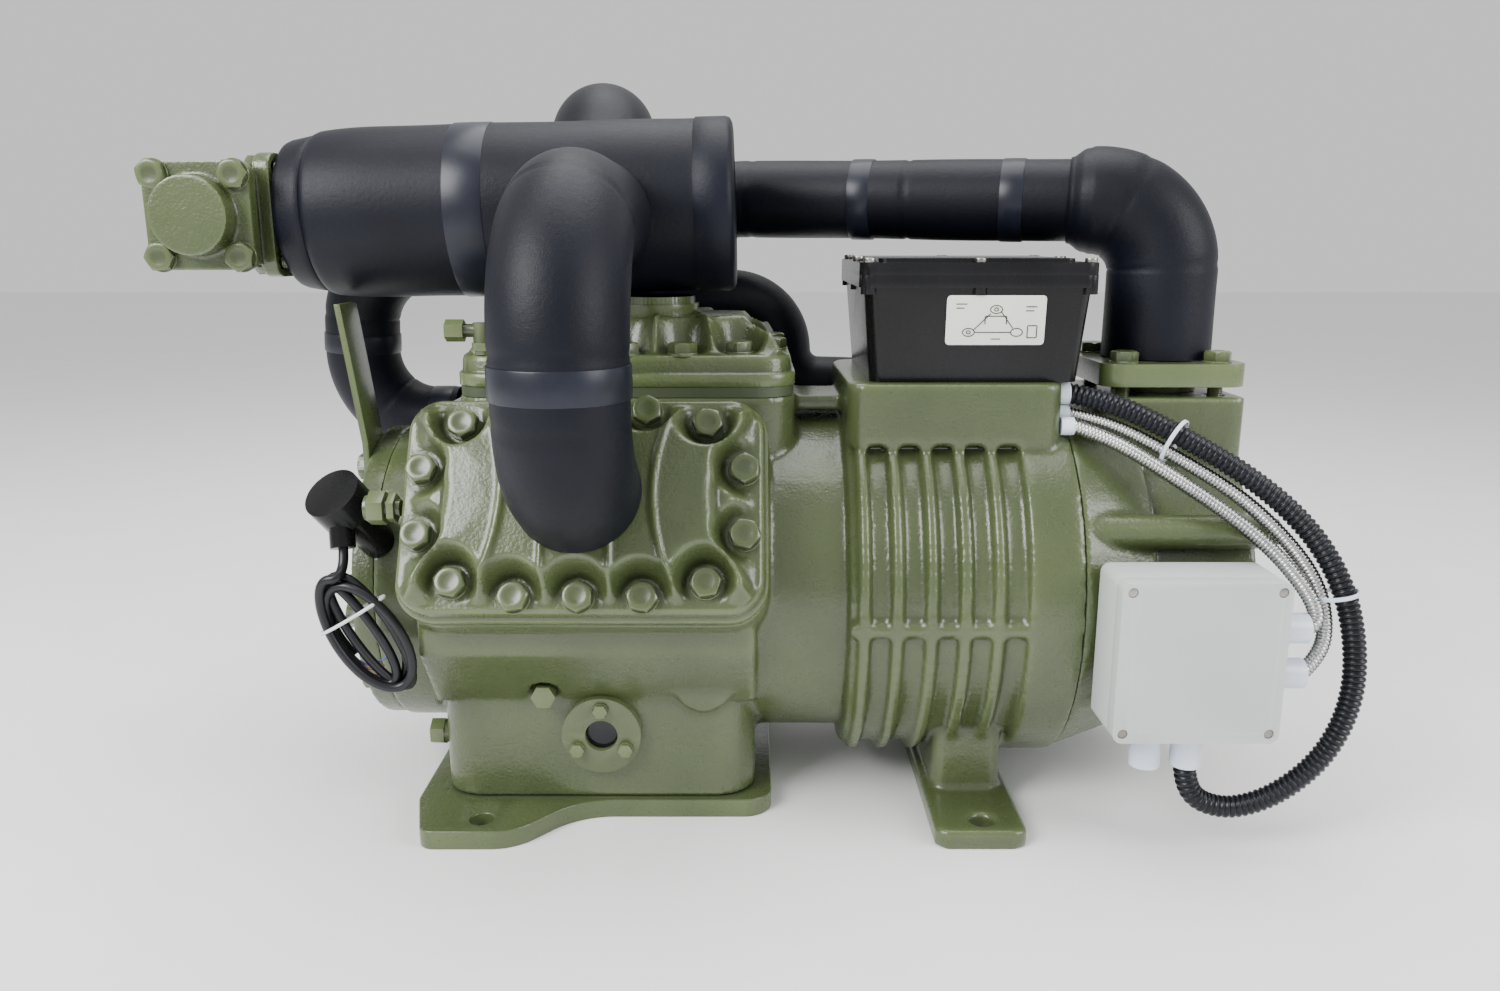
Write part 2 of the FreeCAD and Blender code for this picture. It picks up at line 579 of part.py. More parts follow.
tub = join("tub", tapered_tub("tub_outer", value("base_top"), value("box_top") - 8, 7, 1, 10),
           rounded_block("tub_rim", "{box_left} - 3", "-{box_half} - 3", "{box_top} - 9",
                         "{box_right} - {box_left} + 6", "2 * {box_half} + 6", 9, 12))
tub_space = tapered_tub("tub_space", value("base_top") + 3, value("box_top") + 1, 10.5, 4, 8)
LID_SCREWS = [(x, side * 86) for x in (102, 184, 266) for side in (-1, 1)]
LID_SCREWS += [(102, 0), (266, 0)]
screw_holes = [rod("lid_hole_%d" % index, x, y, "{box_top} - 12", 2.2, 30)
               for index, (x, y) in enumerate(LID_SCREWS)]
pillars = [rod("pillar_%d" % index, x, y, "{box_top} - 14", 6, 14) for index, (x, y) in enumerate(LID_SCREWS)]
tub_tools = [group("lid_holes_low", screw_holes), block("tub_opening", 130, -40, 335, 80, 80, 12)]
tub_solid = join("tub_solid", cut("tub_shell", tub, tub_space), *pillars)
node("terminal_box", cut("terminal_box", tub_solid, *tub_tools))
lid = join("lid_solid",
           rounded_block("lid_rim", "{box_left} - 3", "-{box_half} - 3", "{box_top}",
                         "{box_right} - {box_left} + 6", "2 * {box_half} + 6", 9, 12),
           rounded_block("lid_top", "{box_left} + 12", "-{box_half} + 11", "{box_top} + 8",
                         "{box_right} - {box_left} - 24", "2 * {box_half} - 22", 4, 8))
lid_holes = [rod("lid_top_hole_%d" % index, x, y, "{box_top} - 1", 2.2, 14)
             for index, (x, y) in enumerate(LID_SCREWS)]
node("terminal_lid", cut("terminal_lid", lid, *lid_holes))
label = rounded_block("label_blank", -37, -18.5, 0, 74, 37, 0.4, 3)
draft = math.degrees(math.atan2(6, value("box_top") - 8 - value("base_top")))
node("terminal_label", placed(label, 197, -value("box_half") + 2.3, 387, (1, 0, 0), 90 + draft))

# ---------------------------------------------------------------------------------------------
# Sight glass, drain and filler plugs, gauge fitting and service valve.

glass_x, glass_z = GLASS
ring_blank = rod("glass_ring_blank", glass_x, "-{case_half} - 9", glass_z, 30.5, 9, ALONG_Y)
ring_hole = rod("glass_ring_hole", glass_x, "-{case_half} - 10", glass_z, 12.5, 12, ALONG_Y)
screw_circle = 21.5
GLASS_SCREWS = [(glass_x + screw_circle * math.sin(math.radians(angle)),
                 glass_z + screw_circle * math.cos(math.radians(angle))) for angle in (0, 120, 240)]
ring_screw_holes = [rod("glass_screw_hole_%d" % index, x, "-{case_half} - 10", z, 3.2, 12, ALONG_Y)
                    for index, (x, z) in enumerate(GLASS_SCREWS)]
glass_ring = cut("glass_ring", ring_blank, ring_hole, *ring_screw_holes)
node("sight_glass", rod("sight_glass", glass_x, "-{case_half} - 4", glass_z, 12.4, 14, ALONG_Y))
glass_screws = []
for index, (x, z) in enumerate(GLASS_SCREWS):
    screw = make_bolt("glass_screw_%d" % index, 0, 0, "0", 8, 3, 5.8, 5, collar=1.2)
    glass_screws.append(placed(screw, x, -value("case_half") - 9, z, (1, 0, 0), 90))
node("sight_glass_ring", group("sight_glass_ring", [glass_ring] + glass_screws))

front_out = value("case_half")
plug_x, plug_z = FRONT_PLUG
DRAIN = (-84, 56)
SERVICE = (-190, -70)
GAUGE = (-154, 259)
fittings = [
    join("front_plug", rod("plug_collar", plug_x, -front_out - 5, plug_z, 8.5, 5, ALONG_Y),
         hexagon("plug_hex", plug_x, -front_out - 13, plug_z, 9.5, 9, ALONG_Y)),
    join("drain_plug", rod("drain_collar", -234, *DRAIN, 9, 5, ALONG_X),
         hexagon("drain_hex", -244, *DRAIN, 11, 11, ALONG_X)),
    join("gauge_fitting",
         rod("gauge_stem", -246, *GAUGE, 6, 11, ALONG_X), hexagon("gauge_nut", -243, *GAUGE, 11, 5, ALONG_X),
         hexagon("gauge_cap", -257, *GAUGE, 12.5, 11.5, ALONG_X),
         rod("gauge_crown", -260, *GAUGE, 9, 4, ALONG_X)),
    join("service_valve",
         rod("service_foot", *SERVICE, 360, 7, 4), hexagon("service_nut", *SERVICE, 363, 9, 6),
         rod("service_body", *SERVICE, 368, 7.5, 16),
         rod("service_arm", SERVICE[0] - 20, SERVICE[1], 378, 5, 20, ALONG_X),
         hexagon("service_cap", SERVICE[0] - 28, SERVICE[1], 378, 8.5, 14, ALONG_X)),
    join("head_port", rod("head_port_flange", -62, 0, "{shaft_height} + {crown_reach}", 34, 7),
         rod("head_port_stub", -62, 0, "{shaft_height} + {crown_reach} + 6", 31, 7)),
]
node("fittings", group("fittings", fittings))

# ---------------------------------------------------------------------------------------------
# Suction header with its two branches, and the interstage pipe: steel pipes in foam sleeves.

tilt = math.radians(value("header_tilt"))
header_middle = (value("header_left") + value("header_right")) / 2


def on_header(x):
    """A point of the header's tilted axis."""
    return Vector(x, 0, value("header_z") + (x - header_middle) * math.tan(tilt))


def header_bar(name, radius, left, right):
    """A bar on the header's axis between two places along X."""
    start, end = on_header(left), on_header(right)
    return feature(name, Part.makeCylinder(radius, (end - start).Length, start, end - start))


FRONT_ROUTE = [(-104, 0, 461), (-104, -240, 461), (-104, -240, 308.6), (-104, -189.4, 279.3)]
REAR_ROUTE = [(-108, 0, 470), (-112, 82, 540), (-126, 240, 504), (-126, 240, 308.6), (-126, 189.4, 279.3)]
MIXING_ROUTE = [(-257, 117, 278), (-349, 117, 278), (-340, 112, 434), (-84, 112, 434), (-18, 112, 481),
                (349, 0, 476), (349, 0, 342)]
BRANCH_ROUTE = [(-110, 112, 434), (-70, 118, 391), (42, 125, 391), (42, 125, 312), (150, 125, 308),
                (150, 125, 270)]
front_path = bent_wire(FRONT_ROUTE, [82, 60])
rear_path = bent_wire(REAR_ROUTE, [70, 66, 60])
mixing_path = bent_wire(MIXING_ROUTE, [66, 66, 80, 80, 56])
branch_path = bent_wire(BRANCH_ROUTE, [30, 46, 36, 34])

valve_face = value("header_left") - 26
flange_z = on_header(valve_face).z
suction_parts = [header_bar("header_steel", value("header_pipe") / 2, valve_face + 2,
                            value("header_right") - 8),
                 rod("header_flange", valve_face, 0, flange_z, 47, 10, ALONG_X),
                 feature("front_steel", tube_along(front_path, value("elbow_pipe") / 2)),
                 feature("rear_steel", tube_along(rear_path, value("elbow_pipe") / 2))]
steel_rooms = []
for bank in ("front", "rear"):
    room = rounded_block(bank + "_steel_room", -131, -82, "{deck_reach}", 262, 164,
                         "{crown_reach} - {deck_reach}", 28)
    steel_rooms.append(on_bank(room, bank))
node("suction_header", cut("suction_header", join("suction_steel", *suction_parts), *steel_rooms))

header_sleeve = join("header_sleeve_solid",
                     header_bar("header_sleeve", value("header_foam") / 2, value("header_left"),
                                value("header_right")),
                     header_bar("header_collar", 54, value("header_left") - 24, value("header_left") + 10))
header_core = header_bar("header_core", value("header_pipe") / 2 + 0.1, value("header_left") - 40,
                         value("header_right") - 7)
flange_room = rod("flange_room", valve_face - 1, 0, flange_z, 47.2, 12, ALONG_X)
elbow_rooms = [feature("front_room", tube_along(front_path, value("elbow_pipe") / 2 + 0.1)),
               feature("rear_room", tube_along(rear_path, value("elbow_pipe") / 2 + 0.1))]
node("header_foam", cut("header_foam", header_sleeve, header_core, flange_room, *elbow_rooms))


def sleeve(name, path, radius, bore, *rooms):
    """A foam sleeve on a pipe, cut back where it meets other pieces."""
    outside = feature(name + "_outside", tube_along(path, radius))
    inside = feature(name + "_inside", tube_along(path, bore))
    return cut(name, outside, inside, *rooms)


header_room = header_bar("header_room", value("header_foam") / 2 + 0.2, value("header_left"),
                         value("header_right"))
head_rooms = []
for bank in ("front", "rear"):
    room = rounded_block(bank + "_head_room", -131, -82, "{deck_reach}", 262, 164,
                         "{crown_reach} - {deck_reach} + 0.3", 28)
    head_rooms.append(on_bank(room, bank))
elbow_radius = value("elbow_foam") / 2
elbow_bore = value("elbow_pipe") / 2 + 0.1
for name, path, room in (("front_elbow", front_path, head_rooms[0]),
                         ("rear_elbow", rear_path, head_rooms[1])):
    node(name + "_foam", sleeve(name, path, elbow_radius, elbow_bore, header_room, room))

riser_radius = value("riser_pipe") / 2
steel_branch = 17
barrel_room = rod("barrel_room", "{barrel_left}", 0, "{barrel_height}", "{fin_radius} + 0.3",
                  "{barrel_right} - {barrel_left}", ALONG_X)
mixing_bars = join("mixing_bars", feature("mixing_bar", tube_along(mixing_path, riser_radius)),
                   feature("branch_bar", tube_along(branch_path, steel_branch)))
node("mixing_pipe", cut("mixing_pipe", mixing_bars, barrel_room))
# The sleeve of the interstage pipe is thicker round the elbow over the motor.
drop_path = bent_wire([(285, 19.5, 476.9), (349, 0, 476), (349, 0, 352)], [56])
mixing_sleeve = join("mixing_sleeve",
                     feature("mixing_outside", tube_along(mixing_path, value("riser_foam") / 2)),
                     feature("branch_outside", tube_along(branch_path, value("branch_foam") / 2)),
                     feature("drop_outside", tube_along(drop_path, value("drop_foam") / 2)))
mixing_rooms = [feature("mixing_inside", tube_along(mixing_path, riser_radius + 0.1)),
                feature("branch_inside", tube_along(branch_path, steel_branch + 0.1)),
                block("flange_top_room", 280, -70, 300, 140, 140, 52),
                block("branch_end_room", 110, 80, 240, 80, 80, 31), barrel_room]
node("mixing_foam", cut("mixing_foam", mixing_sleeve, *mixing_rooms))


def between(first, second, share):
    """A point on the straight line between two others."""
    return Vector(*first) + (Vector(*second) - Vector(*first)) * share


def band_on(name, start, end, radius):
    """A thin tape band round a sleeve, on a straight stretch."""
    along = end - start
    outside = Part.makeCylinder(radius + 0.7, along.Length, start, along)
    return feature(name, outside.cut(Part.makeCylinder(radius + 0.1, along.Length, start, along)))


BAND_PLACES = [
    (on_header(-217), on_header(-187), value("header_foam") / 2),
    (on_header(-33), on_header(-10), value("header_foam") / 2),
    (Vector(-104, -240, 371), Vector(-104, -240, 349), elbow_radius),
    (Vector(-126, 240, 380), Vector(-126, 240, 358), elbow_radius),
    (between(MIXING_ROUTE[4], MIXING_ROUTE[5], 0.33), between(MIXING_ROUTE[4], MIXING_ROUTE[5], 0.38), 33),
    (between(MIXING_ROUTE[4], MIXING_ROUTE[5], 0.66), between(MIXING_ROUTE[4], MIXING_ROUTE[5], 0.71), 33),
    (between(MIXING_ROUTE[1], MIXING_ROUTE[2], 0.43), between(MIXING_ROUTE[1], MIXING_ROUTE[2], 0.54), 33),
    (Vector(-282, 117, 278), Vector(-262, 117, 278), 33),
]
bands = [band_on("band_%d" % index, *band_place) for index, band_place in enumerate(BAND_PLACES)]
node("tape_bands", group("tape_bands", bands))

# ---------------------------------------------------------------------------------------------
# Suction shut-off valve: square body, bonnet with cap, flange bolts and the spindle inside.

half_square = value("valve_square") / 2
valve_x = value("valve_x")
valve_z = value("valve_z")
body_parts = [
    rounded_block("valve_box", valve_x - 34, -50, valve_z - 36, 58, 88, 72, 10),
    rounded_block("valve_front", valve_x - 34, -58, valve_z - 36, 70, 11, 72, 3),
    rod("valve_side", valve_x + 20, 0, valve_z, 33, valve_face - valve_x - 32, ALONG_X),
    rod("valve_line", valve_x, 36, valve_z, 35, 22, ALONG_Y),
    placed(rounded_block("valve_flange", -47, -47, 0, 94, 94, 12, 14), valve_face - 13, 0, valve_z + 1,
           (0, 1, 0), 90),
]
body_tools = [
    rod("valve_line_bore", valve_x, 30, valve_z, "{line_bore} / 2", 40, ALONG_Y),
    rod("valve_chamber", valve_x, -50, valve_z, 26, 84, ALONG_Y),
    rod("valve_outlet", valve_x, 0, valve_z, 22, 60, ALONG_X),
    rod("spindle_passage", valve_x, -60, valve_z, 7.1, 20, ALONG_Y),
]
flange_bolts = list(inlet_bolts)
for side in (-1, 1):
    for edge in (-1, 1):
        tag = "%d%d" % (side + 1, edge + 1)
        y, z = side * 35, valve_z + 1 + edge * 35
        body_tools.append(rod("valve_flange_hole_" + tag, valve_face - 20, y, z, 5.5, 30, ALONG_X))
        bolt = make_bolt("valve_flange_bolt_" + tag, 0, 0, "0", 12.5, 5, 10, 8, collar=1.0)
        flange_bolts.append(placed(bolt, valve_face - 13, y, z, (0, 1, 0), -90))
BONNET_BOLTS = [(valve_x + side * 30, valve_z + edge * 30) for side in (-1, 1) for edge in (-1, 1)]
bonnet_tools = [rod("spindle_bore", valve_x, -84, valve_z, 7.1, 30, ALONG_Y),
                rod("bonnet_well", valve_x, -82, valve_z, 20, 12, ALONG_Y)]
for index, (x, z) in enumerate(BONNET_BOLTS):
    body_tools.append(rod("bonnet_hole_low_%d" % index, x, -60, z, 4.6, 24, ALONG_Y))
    bonnet_tools.append(rod("bonnet_hole_%d" % index, x, -72, z, 4.6, 16, ALONG_Y))
    bolt = make_bolt("bonnet_bolt_%d" % index, 0, 0, "0", 22, 4.5, 11.5, 7, collar=1.05)
    flange_bolts.append(placed(bolt, x, -70, z, (1, 0, 0), 90))
node("flange_bolts", group("flange_bolts", flange_bolts))
node("valve_body", cut("valve_body", join("valve_solid", *body_parts), *body_tools))
bonnet = join("bonnet_solid",
              placed(rounded_block("bonnet_plate", -half_square, -half_square, 0, 80, 80, 12, 9),
                     valve_x, -58, valve_z, (1, 0, 0), 90),
              rod("bonnet_cap", valve_x, -88, valve_z, 29, 19, ALONG_Y))
node("valve_bonnet", cut("valve_bonnet", bonnet, *bonnet_tools))
node("valve_spindle", join("valve_spindle", rod("spindle", valve_x, -80, valve_z, 7, 62, ALONG_Y),
                           rod("valve_disc", valve_x, -22, valve_z, 22, 8, ALONG_Y)))

# Bracket: a flat bar, bolted to the crank-end cover and bent to lean out to the header.
bar_x = cover_face - value("bracket_thick")
bar_y, bar_low = bracket_bolt[0], bracket_bolt[1] - 19
BEND, TOP = 288, 397
lean_out = 14
bar_outline = [(cover_face, bar_low), (cover_face, BEND), (cover_face - lean_out, TOP),
               (bar_x - lean_out, TOP), (bar_x, BEND), (bar_x, bar_low), (cover_face, bar_low)]
bar_face = Part.Face(Part.makePolygon([Vector(x, bar_y - 19, z) for x, z in bar_outline]))
bar = feature("bracket_bar", bar_face.extrude(Vector(0, 38, 0)))
bracket_hole = rod("bracket_hole", bar_x - 1, *bracket_bolt, 6.5, 8, ALONG_X)
node("header_bracket", cut("header_bracket", bar, bracket_hole))

# ---------------------------------------------------------------------------------------------
# Oil level switch on the crank-end boss, with its cable tied up in a hank.

switch_out = Vector(-0.30, -0.60, 0.74).normalize()
switch_foot = Vector(-270, -112, 226)


def switch_bar(name, start, length, radius):
    """A bar on the switch's own axis."""
    return feature(name, Part.makeCylinder(radius, length, switch_foot + switch_out * start, switch_out))


head_middle = switch_foot + switch_out * 46
gland_out = Vector(0.12, -0.35, -0.93).normalize()
gland_foot = head_middle + gland_out * 12
switch = join("switch_case", switch_bar("switch_head", 35, 22, 21), switch_bar("switch_neck", 30, 6, 15),
              feature("switch_gland", Part.makeCylinder(9, 22, gland_foot, gland_out)))
boss_room = rod("boss_room", -300, 0, "{shaft_height}", "{boss_radius} + 0.05", 100, ALONG_X)
socket = cut("switch_socket", switch_bar("socket_blank", -8, 38, 13.5), boss_room)
node("level_switch", group("level_switch", [switch, socket]))
cable_exit = gland_foot + gland_out * 22
cable_lead = cable_exit + gland_out * 12
hank_middle = Vector(-265, -160, 166)
hank_axis = Vector(45, 0, -77).normalize()
hank_curve = Part.Ellipse(Vector(0, 0, 0), 52, 25)
hank_face = Part.Face(Part.Wire([hank_curve.toShape()]))
hank_solid = hank_face.extrude(Vector(0, 0, 22))
hank = feature("cable_hank", hank_solid)
hank_turn = Rotation(hank_axis, Vector(hank_axis.z, 0, -hank_axis.x), Vector(0, 1, 0), "XYZ")
hank.Placement = Placement(hank_middle + Vector(0, -11, 0), hank_turn)
node("cable_hank", hank)
CABLE_ROUTE = [cable_exit, cable_lead, Vector(-277.5, -159.5, 198.5)]
print("cable exit", cable_exit, "lead", cable_lead)
CORDS = {
    "switch_cable": (CABLE_ROUTE, value("cable_dia")),
    "black_conduit": ([(262, -62, 329), (290, -74, 325), (332, -104, 305), (376, -134, 279),
                       (413, -151, 247), (438, -162, 208), (450, -168, 164), (451, -172, 120),
                       (437, -172, 78), (408, -172, 48), (375, -172, 34), (349, -172, 38),
                       (335, -172, 52), (333, -172, 70)], value("black_dia")),
    "metal_conduit_upper": ([(262, -80, 306), (288, -90, 298), (325, -114, 276), (364, -138, 250),
                             (390, -153, 228), (408, -164, 206), (417, -170, 190), (418, -172, 178),
                             (411, -172, 175)], value("metal_dia")),
    "metal_conduit_lower": ([(262, -64, 313), (290, -76, 309), (330, -106, 289), (371, -134, 264),
                             (400, -149, 236), (421, -157, 208), (430, -161, 180), (426, -169, 154),
                             (411, -172, 141)], value("metal_dia")),
}


def cord(name, points, diameter):
    """A cord's tube: each bend takes 0.45 of its shorter run."""
    points = [Vector(*point) for point in points]
    radii = []
    for before, corner, after in zip(points, points[1:], points[2:]):
        half_turn = (math.pi - (before - corner).getAngle(after - corner)) / 2
        shorter = min((before - corner).Length, (after - corner).Length)
        radii.append(0.45 * shorter / math.tan(half_turn))
    path = bent_wire([tuple(point) for point in points], radii)
    solid = tube_along(path, diameter / 2)
    expected = math.pi * diameter ** 2 / 4 * path.Length
    print(name, "length %.1f" % path.Length, "volume ratio %.4f" % (solid.Volume / expected),
          "radii", " ".join("%.0f" % radius for radius in radii))
    return feature(name, solid)


for name, (points, diameter) in CORDS.items():
    node(name, cord(name, points, diameter))

# ---------------------------------------------------------------------------------------------
# Junction box beside the motor, its lid, screws and glands.

left = value("junction_left")
width = value("junction_width")
low = value("junction_low")
height = value("junction_height")
front = value("junction_front")
depth = value("junction_depth")
box_turn = ((1, 0, 0), 90)
tub = placed(rounded_block("junction_blank", 0, 0, 0, width, height, depth - 14, 7), left, front + depth, low,
             *box_turn)
room = placed(rounded_block("junction_room", 0, 0, 0, width - 6, height - 6, depth, 5), left + 3,
              front + depth - 3, low + 3, *box_turn)
JUNCTION_SCREWS = [(left + width / 2 + side * (width / 2 - 7), low + height / 2 + edge * (height / 2 - 7))
                   for side in (-1, 1) for edge in (-1, 1)]
gland_places = [("side_upper", left + width - 1, 175, ALONG_X),
                ("side_lower", left + width - 1, 141, ALONG_X),
                ("under_left", 303, low + 1, (1, 0, 0, 180)), ("under_right", 333, low + 1, (1, 0, 0, 180))]
gland_y = -172
posts = [rod("junction_post_%d" % index, x, front + 14, z, 5, depth - 15, ALONG_Y)
         for index, (x, z) in enumerate(JUNCTION_SCREWS)]
post_holes = [rod("junction_post_hole_%d" % index, x, front - 1, z, 1.7, 30, ALONG_Y)
              for index, (x, z) in enumerate(JUNCTION_SCREWS)]
gland_rooms = []
for name, x, z, turn in gland_places:
    gland_rooms.append(rod("gland_room_" + name, x - (8 if turn == ALONG_X else 0), gland_y,
                           z + (0 if turn == ALONG_X else 8), 9.1, 16, turn))
shell = join("junction_shell", cut("junction_hollow", tub, room), *posts)
node("junction_box", cut("junction_box", shell, group("post_holes_box", post_holes), *gland_rooms))
lid_blank = placed(rounded_block("junction_lid_blank", 0, 0, 0, width, height, 14, 7), left, front + 14, low,
                   *box_turn)
lid_wells = [rod("lid_well_%d" % index, x, front - 1, z, 3.6, 5, ALONG_Y)
             for index, (x, z) in enumerate(JUNCTION_SCREWS)]
lid_bores = [rod("lid_bore_%d" % index, x, front - 1, z, 1.8, 30, ALONG_Y)
             for index, (x, z) in enumerate(JUNCTION_SCREWS)]
node("junction_lid", cut("junction_lid", lid_blank, *lid_wells, *lid_bores))
box_screws = []
for index, (x, z) in enumerate(JUNCTION_SCREWS):
    box_screws.append(join("junction_screw_%d" % index, rod("junction_screw_head_%d" % index, x, front + 1, z,
                                                            3.4, 3, ALONG_Y),
                           rod("junction_screw_shank_%d" % index, x, front + 3, z, 1.6, 20, ALONG_Y)))
for index, (x, y) in enumerate(LID_SCREWS):
    head = rod("lid_screw_head_%d" % index, x, y, "{box_top} + 9", 4.6, 3.5)
    shank = rod("lid_screw_shank_%d" % index, x, y, "{box_top} - 10", 2, 20)
    box_screws.append(join("lid_screw_%d" % index, head, shank))
node("box_screws", group("box_screws", box_screws))
glands = []
for name, x, z, turn in gland_places:
    body = rod("gland_body_" + name, x - (6 if turn == ALONG_X else 0), gland_y,
               z + (0 if turn == ALONG_X else 6), 9, 12, turn)
    nut = hexagon("gland_nut_" + name, x + (1 if turn == ALONG_X else 0), gland_y,
                  z - (0 if turn == ALONG_X else 1), 13, 8, turn)
    cap = rod("gland_cap_" + name, x + (8 if turn == ALONG_X else 0), gland_y,
              z - (0 if turn == ALONG_X else 8), 11, 18 if turn == ALONG_X else 22, turn)
    glands.append(join("gland_" + name, body, nut, cap))
for index, (y, z, radius) in enumerate(((-62, 329, 8.8), (-64, 313, 7), (-80, 306, 7))):
    glands.append(rod("outlet_%d" % index, 252, y, z, radius, 10, ALONG_X))
node("glands", group("glands", glands))


def tie(name, middle, along, radius, width=3):
    """A narrow plastic strap round a bundle."""
    along = Vector(*along).normalize()
    start = Vector(*middle) - along * (width / 2)
    outside = Part.makeCylinder(radius + 1.2, width, start, along)
    return feature(name, outside.cut(Part.makeCylinder(radius, width, start, along)))


node("cable_ties", group("cable_ties", [
    tie("tie_upper", (331.5, -104, 298.5), (42, -30, -23), 16.5),
    tie("tie_side", (435.6, -162.0, 197), (0.2, -0.1, -1), 14.2)]))

# ---------------------------------------------------------------------------------------------
doc.recompute()
faults = [thing.Name for thing in doc.Objects if set(thing.State) & {"Invalid", "Error"}]
if faults:
    raise RuntimeError("failed objects: " + ", ".join(faults))
os.makedirs("parts", exist_ok=True)
for thing in nodes:
    if thing.Shape.isNull() or not thing.Shape.isValid():
        raise RuntimeError("bad shape: " + thing.Label)
for thing in nodes:
    thing.Shape.exportStep("parts/%s.step" % thing.Label)
print("nodes:", len(nodes))
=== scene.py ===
"""The looks of a semi-hermetic, six-cylinder refrigeration compressor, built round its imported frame."""
import math
import bmesh
import bpy
import numpy as np
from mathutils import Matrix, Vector


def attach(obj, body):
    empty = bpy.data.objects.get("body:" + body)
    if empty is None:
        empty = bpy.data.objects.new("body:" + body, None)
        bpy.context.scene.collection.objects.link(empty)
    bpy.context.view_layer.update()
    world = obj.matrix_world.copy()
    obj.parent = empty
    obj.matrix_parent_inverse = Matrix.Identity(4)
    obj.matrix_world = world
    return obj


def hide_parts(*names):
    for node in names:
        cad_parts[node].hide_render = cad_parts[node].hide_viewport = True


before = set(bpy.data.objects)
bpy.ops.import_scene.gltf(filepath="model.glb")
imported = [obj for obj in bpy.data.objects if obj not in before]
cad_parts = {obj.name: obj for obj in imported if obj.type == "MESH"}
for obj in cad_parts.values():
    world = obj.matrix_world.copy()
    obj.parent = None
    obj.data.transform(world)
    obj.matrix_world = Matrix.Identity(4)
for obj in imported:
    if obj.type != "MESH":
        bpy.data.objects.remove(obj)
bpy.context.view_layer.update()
scene = bpy.context.scene
MM = 0.001

# ------------------------------------------------------------------------------------------------
# Studio: the viewpoint, a pale floor under the feet, three soft boxes and a pale surround.

camera = bpy.data.objects.new("camera", bpy.data.cameras.new("camera"))
scene.collection.objects.link(camera)
scene.camera = camera
camera.data.lens = 27
camera.data.sensor_width = 36
camera.location = (0.0138, -0.9346, 0.4454)
camera.rotation_euler = (math.radians(90 - 12.8), 0, 0)

surround = bpy.data.worlds.new("surround")
surround.use_nodes = True
surround.node_tree.nodes["Background"].inputs["Color"].default_value = (1, 1, 1, 1)
surround.node_tree.nodes["Background"].inputs["Strength"].default_value = 0.82
scene.world = surround

SOFT_BOXES = {"soft_box_left": ((-1.3, -1.2, 1.5), 1.1, 62), "soft_box_right": ((1.7, -0.9, 1.1), 1.0, 26),
              "soft_box_top": ((0.1, 0.3, 2.0), 1.6, 34)}
for name, (place, size, power) in SOFT_BOXES.items():
    lamp = bpy.data.lights.new(name, "AREA")
    lamp.size = size
    lamp.energy = power
    lamp_object = bpy.data.objects.new(name, lamp)
    lamp_object.location = place
    lamp_object.rotation_euler = (Vector((0, 0, 0.25)) - Vector(place)).to_track_quat("-Z", "Y").to_euler()
    scene.collection.objects.link(lamp_object)


def surface_group():
    """Fine grain, slow blotches and sparse specks, from a position in metres and two scales per metre."""
    group = bpy.data.node_groups.new("surface_marks", "ShaderNodeTree")
    for socket, kind in (("Position", "NodeSocketVector"), ("Grain", "NodeSocketFloat"),
                         ("Blotch", "NodeSocketFloat")):
        group.interface.new_socket(socket, in_out="INPUT", socket_type=kind)
    for socket in ("Height", "Variation", "Specks"):
        group.interface.new_socket(socket, in_out="OUTPUT", socket_type="NodeSocketFloat")
    entry = group.nodes.new("NodeGroupInput")
    leave = group.nodes.new("NodeGroupOutput")
    fine, broad, slow, cells = (group.nodes.new("ShaderNodeTexNoise") for _ in range(4))
    for noise, detail in ((fine, 3), (broad, 2), (slow, 4), (cells, 2)):
        noise.inputs["Detail"].default_value = detail
        group.links.new(entry.outputs["Position"], noise.inputs["Vector"])
    quarter = group.nodes.new("ShaderNodeMath")
    quarter.operation = "MULTIPLY"
    quarter.inputs[1].default_value = 0.22
    group.links.new(entry.outputs["Grain"], quarter.inputs[0])
    group.links.new(entry.outputs["Grain"], fine.inputs["Scale"])
    group.links.new(quarter.outputs[0], broad.inputs["Scale"])
    group.links.new(entry.outputs["Blotch"], slow.inputs["Scale"])
    cells.inputs["Scale"].default_value = 330
    height = group.nodes.new("ShaderNodeMix")
    height.inputs["Factor"].default_value = 0.55
    group.links.new(fine.outputs["Fac"], height.inputs["A"])
    group.links.new(broad.outputs["Fac"], height.inputs["B"])
    group.links.new(height.outputs["Result"], leave.inputs["Height"])
    spread = group.nodes.new("ShaderNodeMapRange")
    spread.inputs["From Min"].default_value = 0.35
    spread.inputs["From Max"].default_value = 0.65
    group.links.new(slow.outputs["Fac"], spread.inputs["Value"])
    group.links.new(spread.outputs["Result"], leave.inputs["Variation"])
    specks = group.nodes.new("ShaderNodeMapRange")
    specks.inputs["From Min"].default_value = 0.70
    specks.inputs["From Max"].default_value = 0.74
    group.links.new(cells.outputs["Fac"], specks.inputs["Value"])
    group.links.new(specks.outputs["Result"], leave.inputs["Specks"])
    return group


MARKS = surface_group()


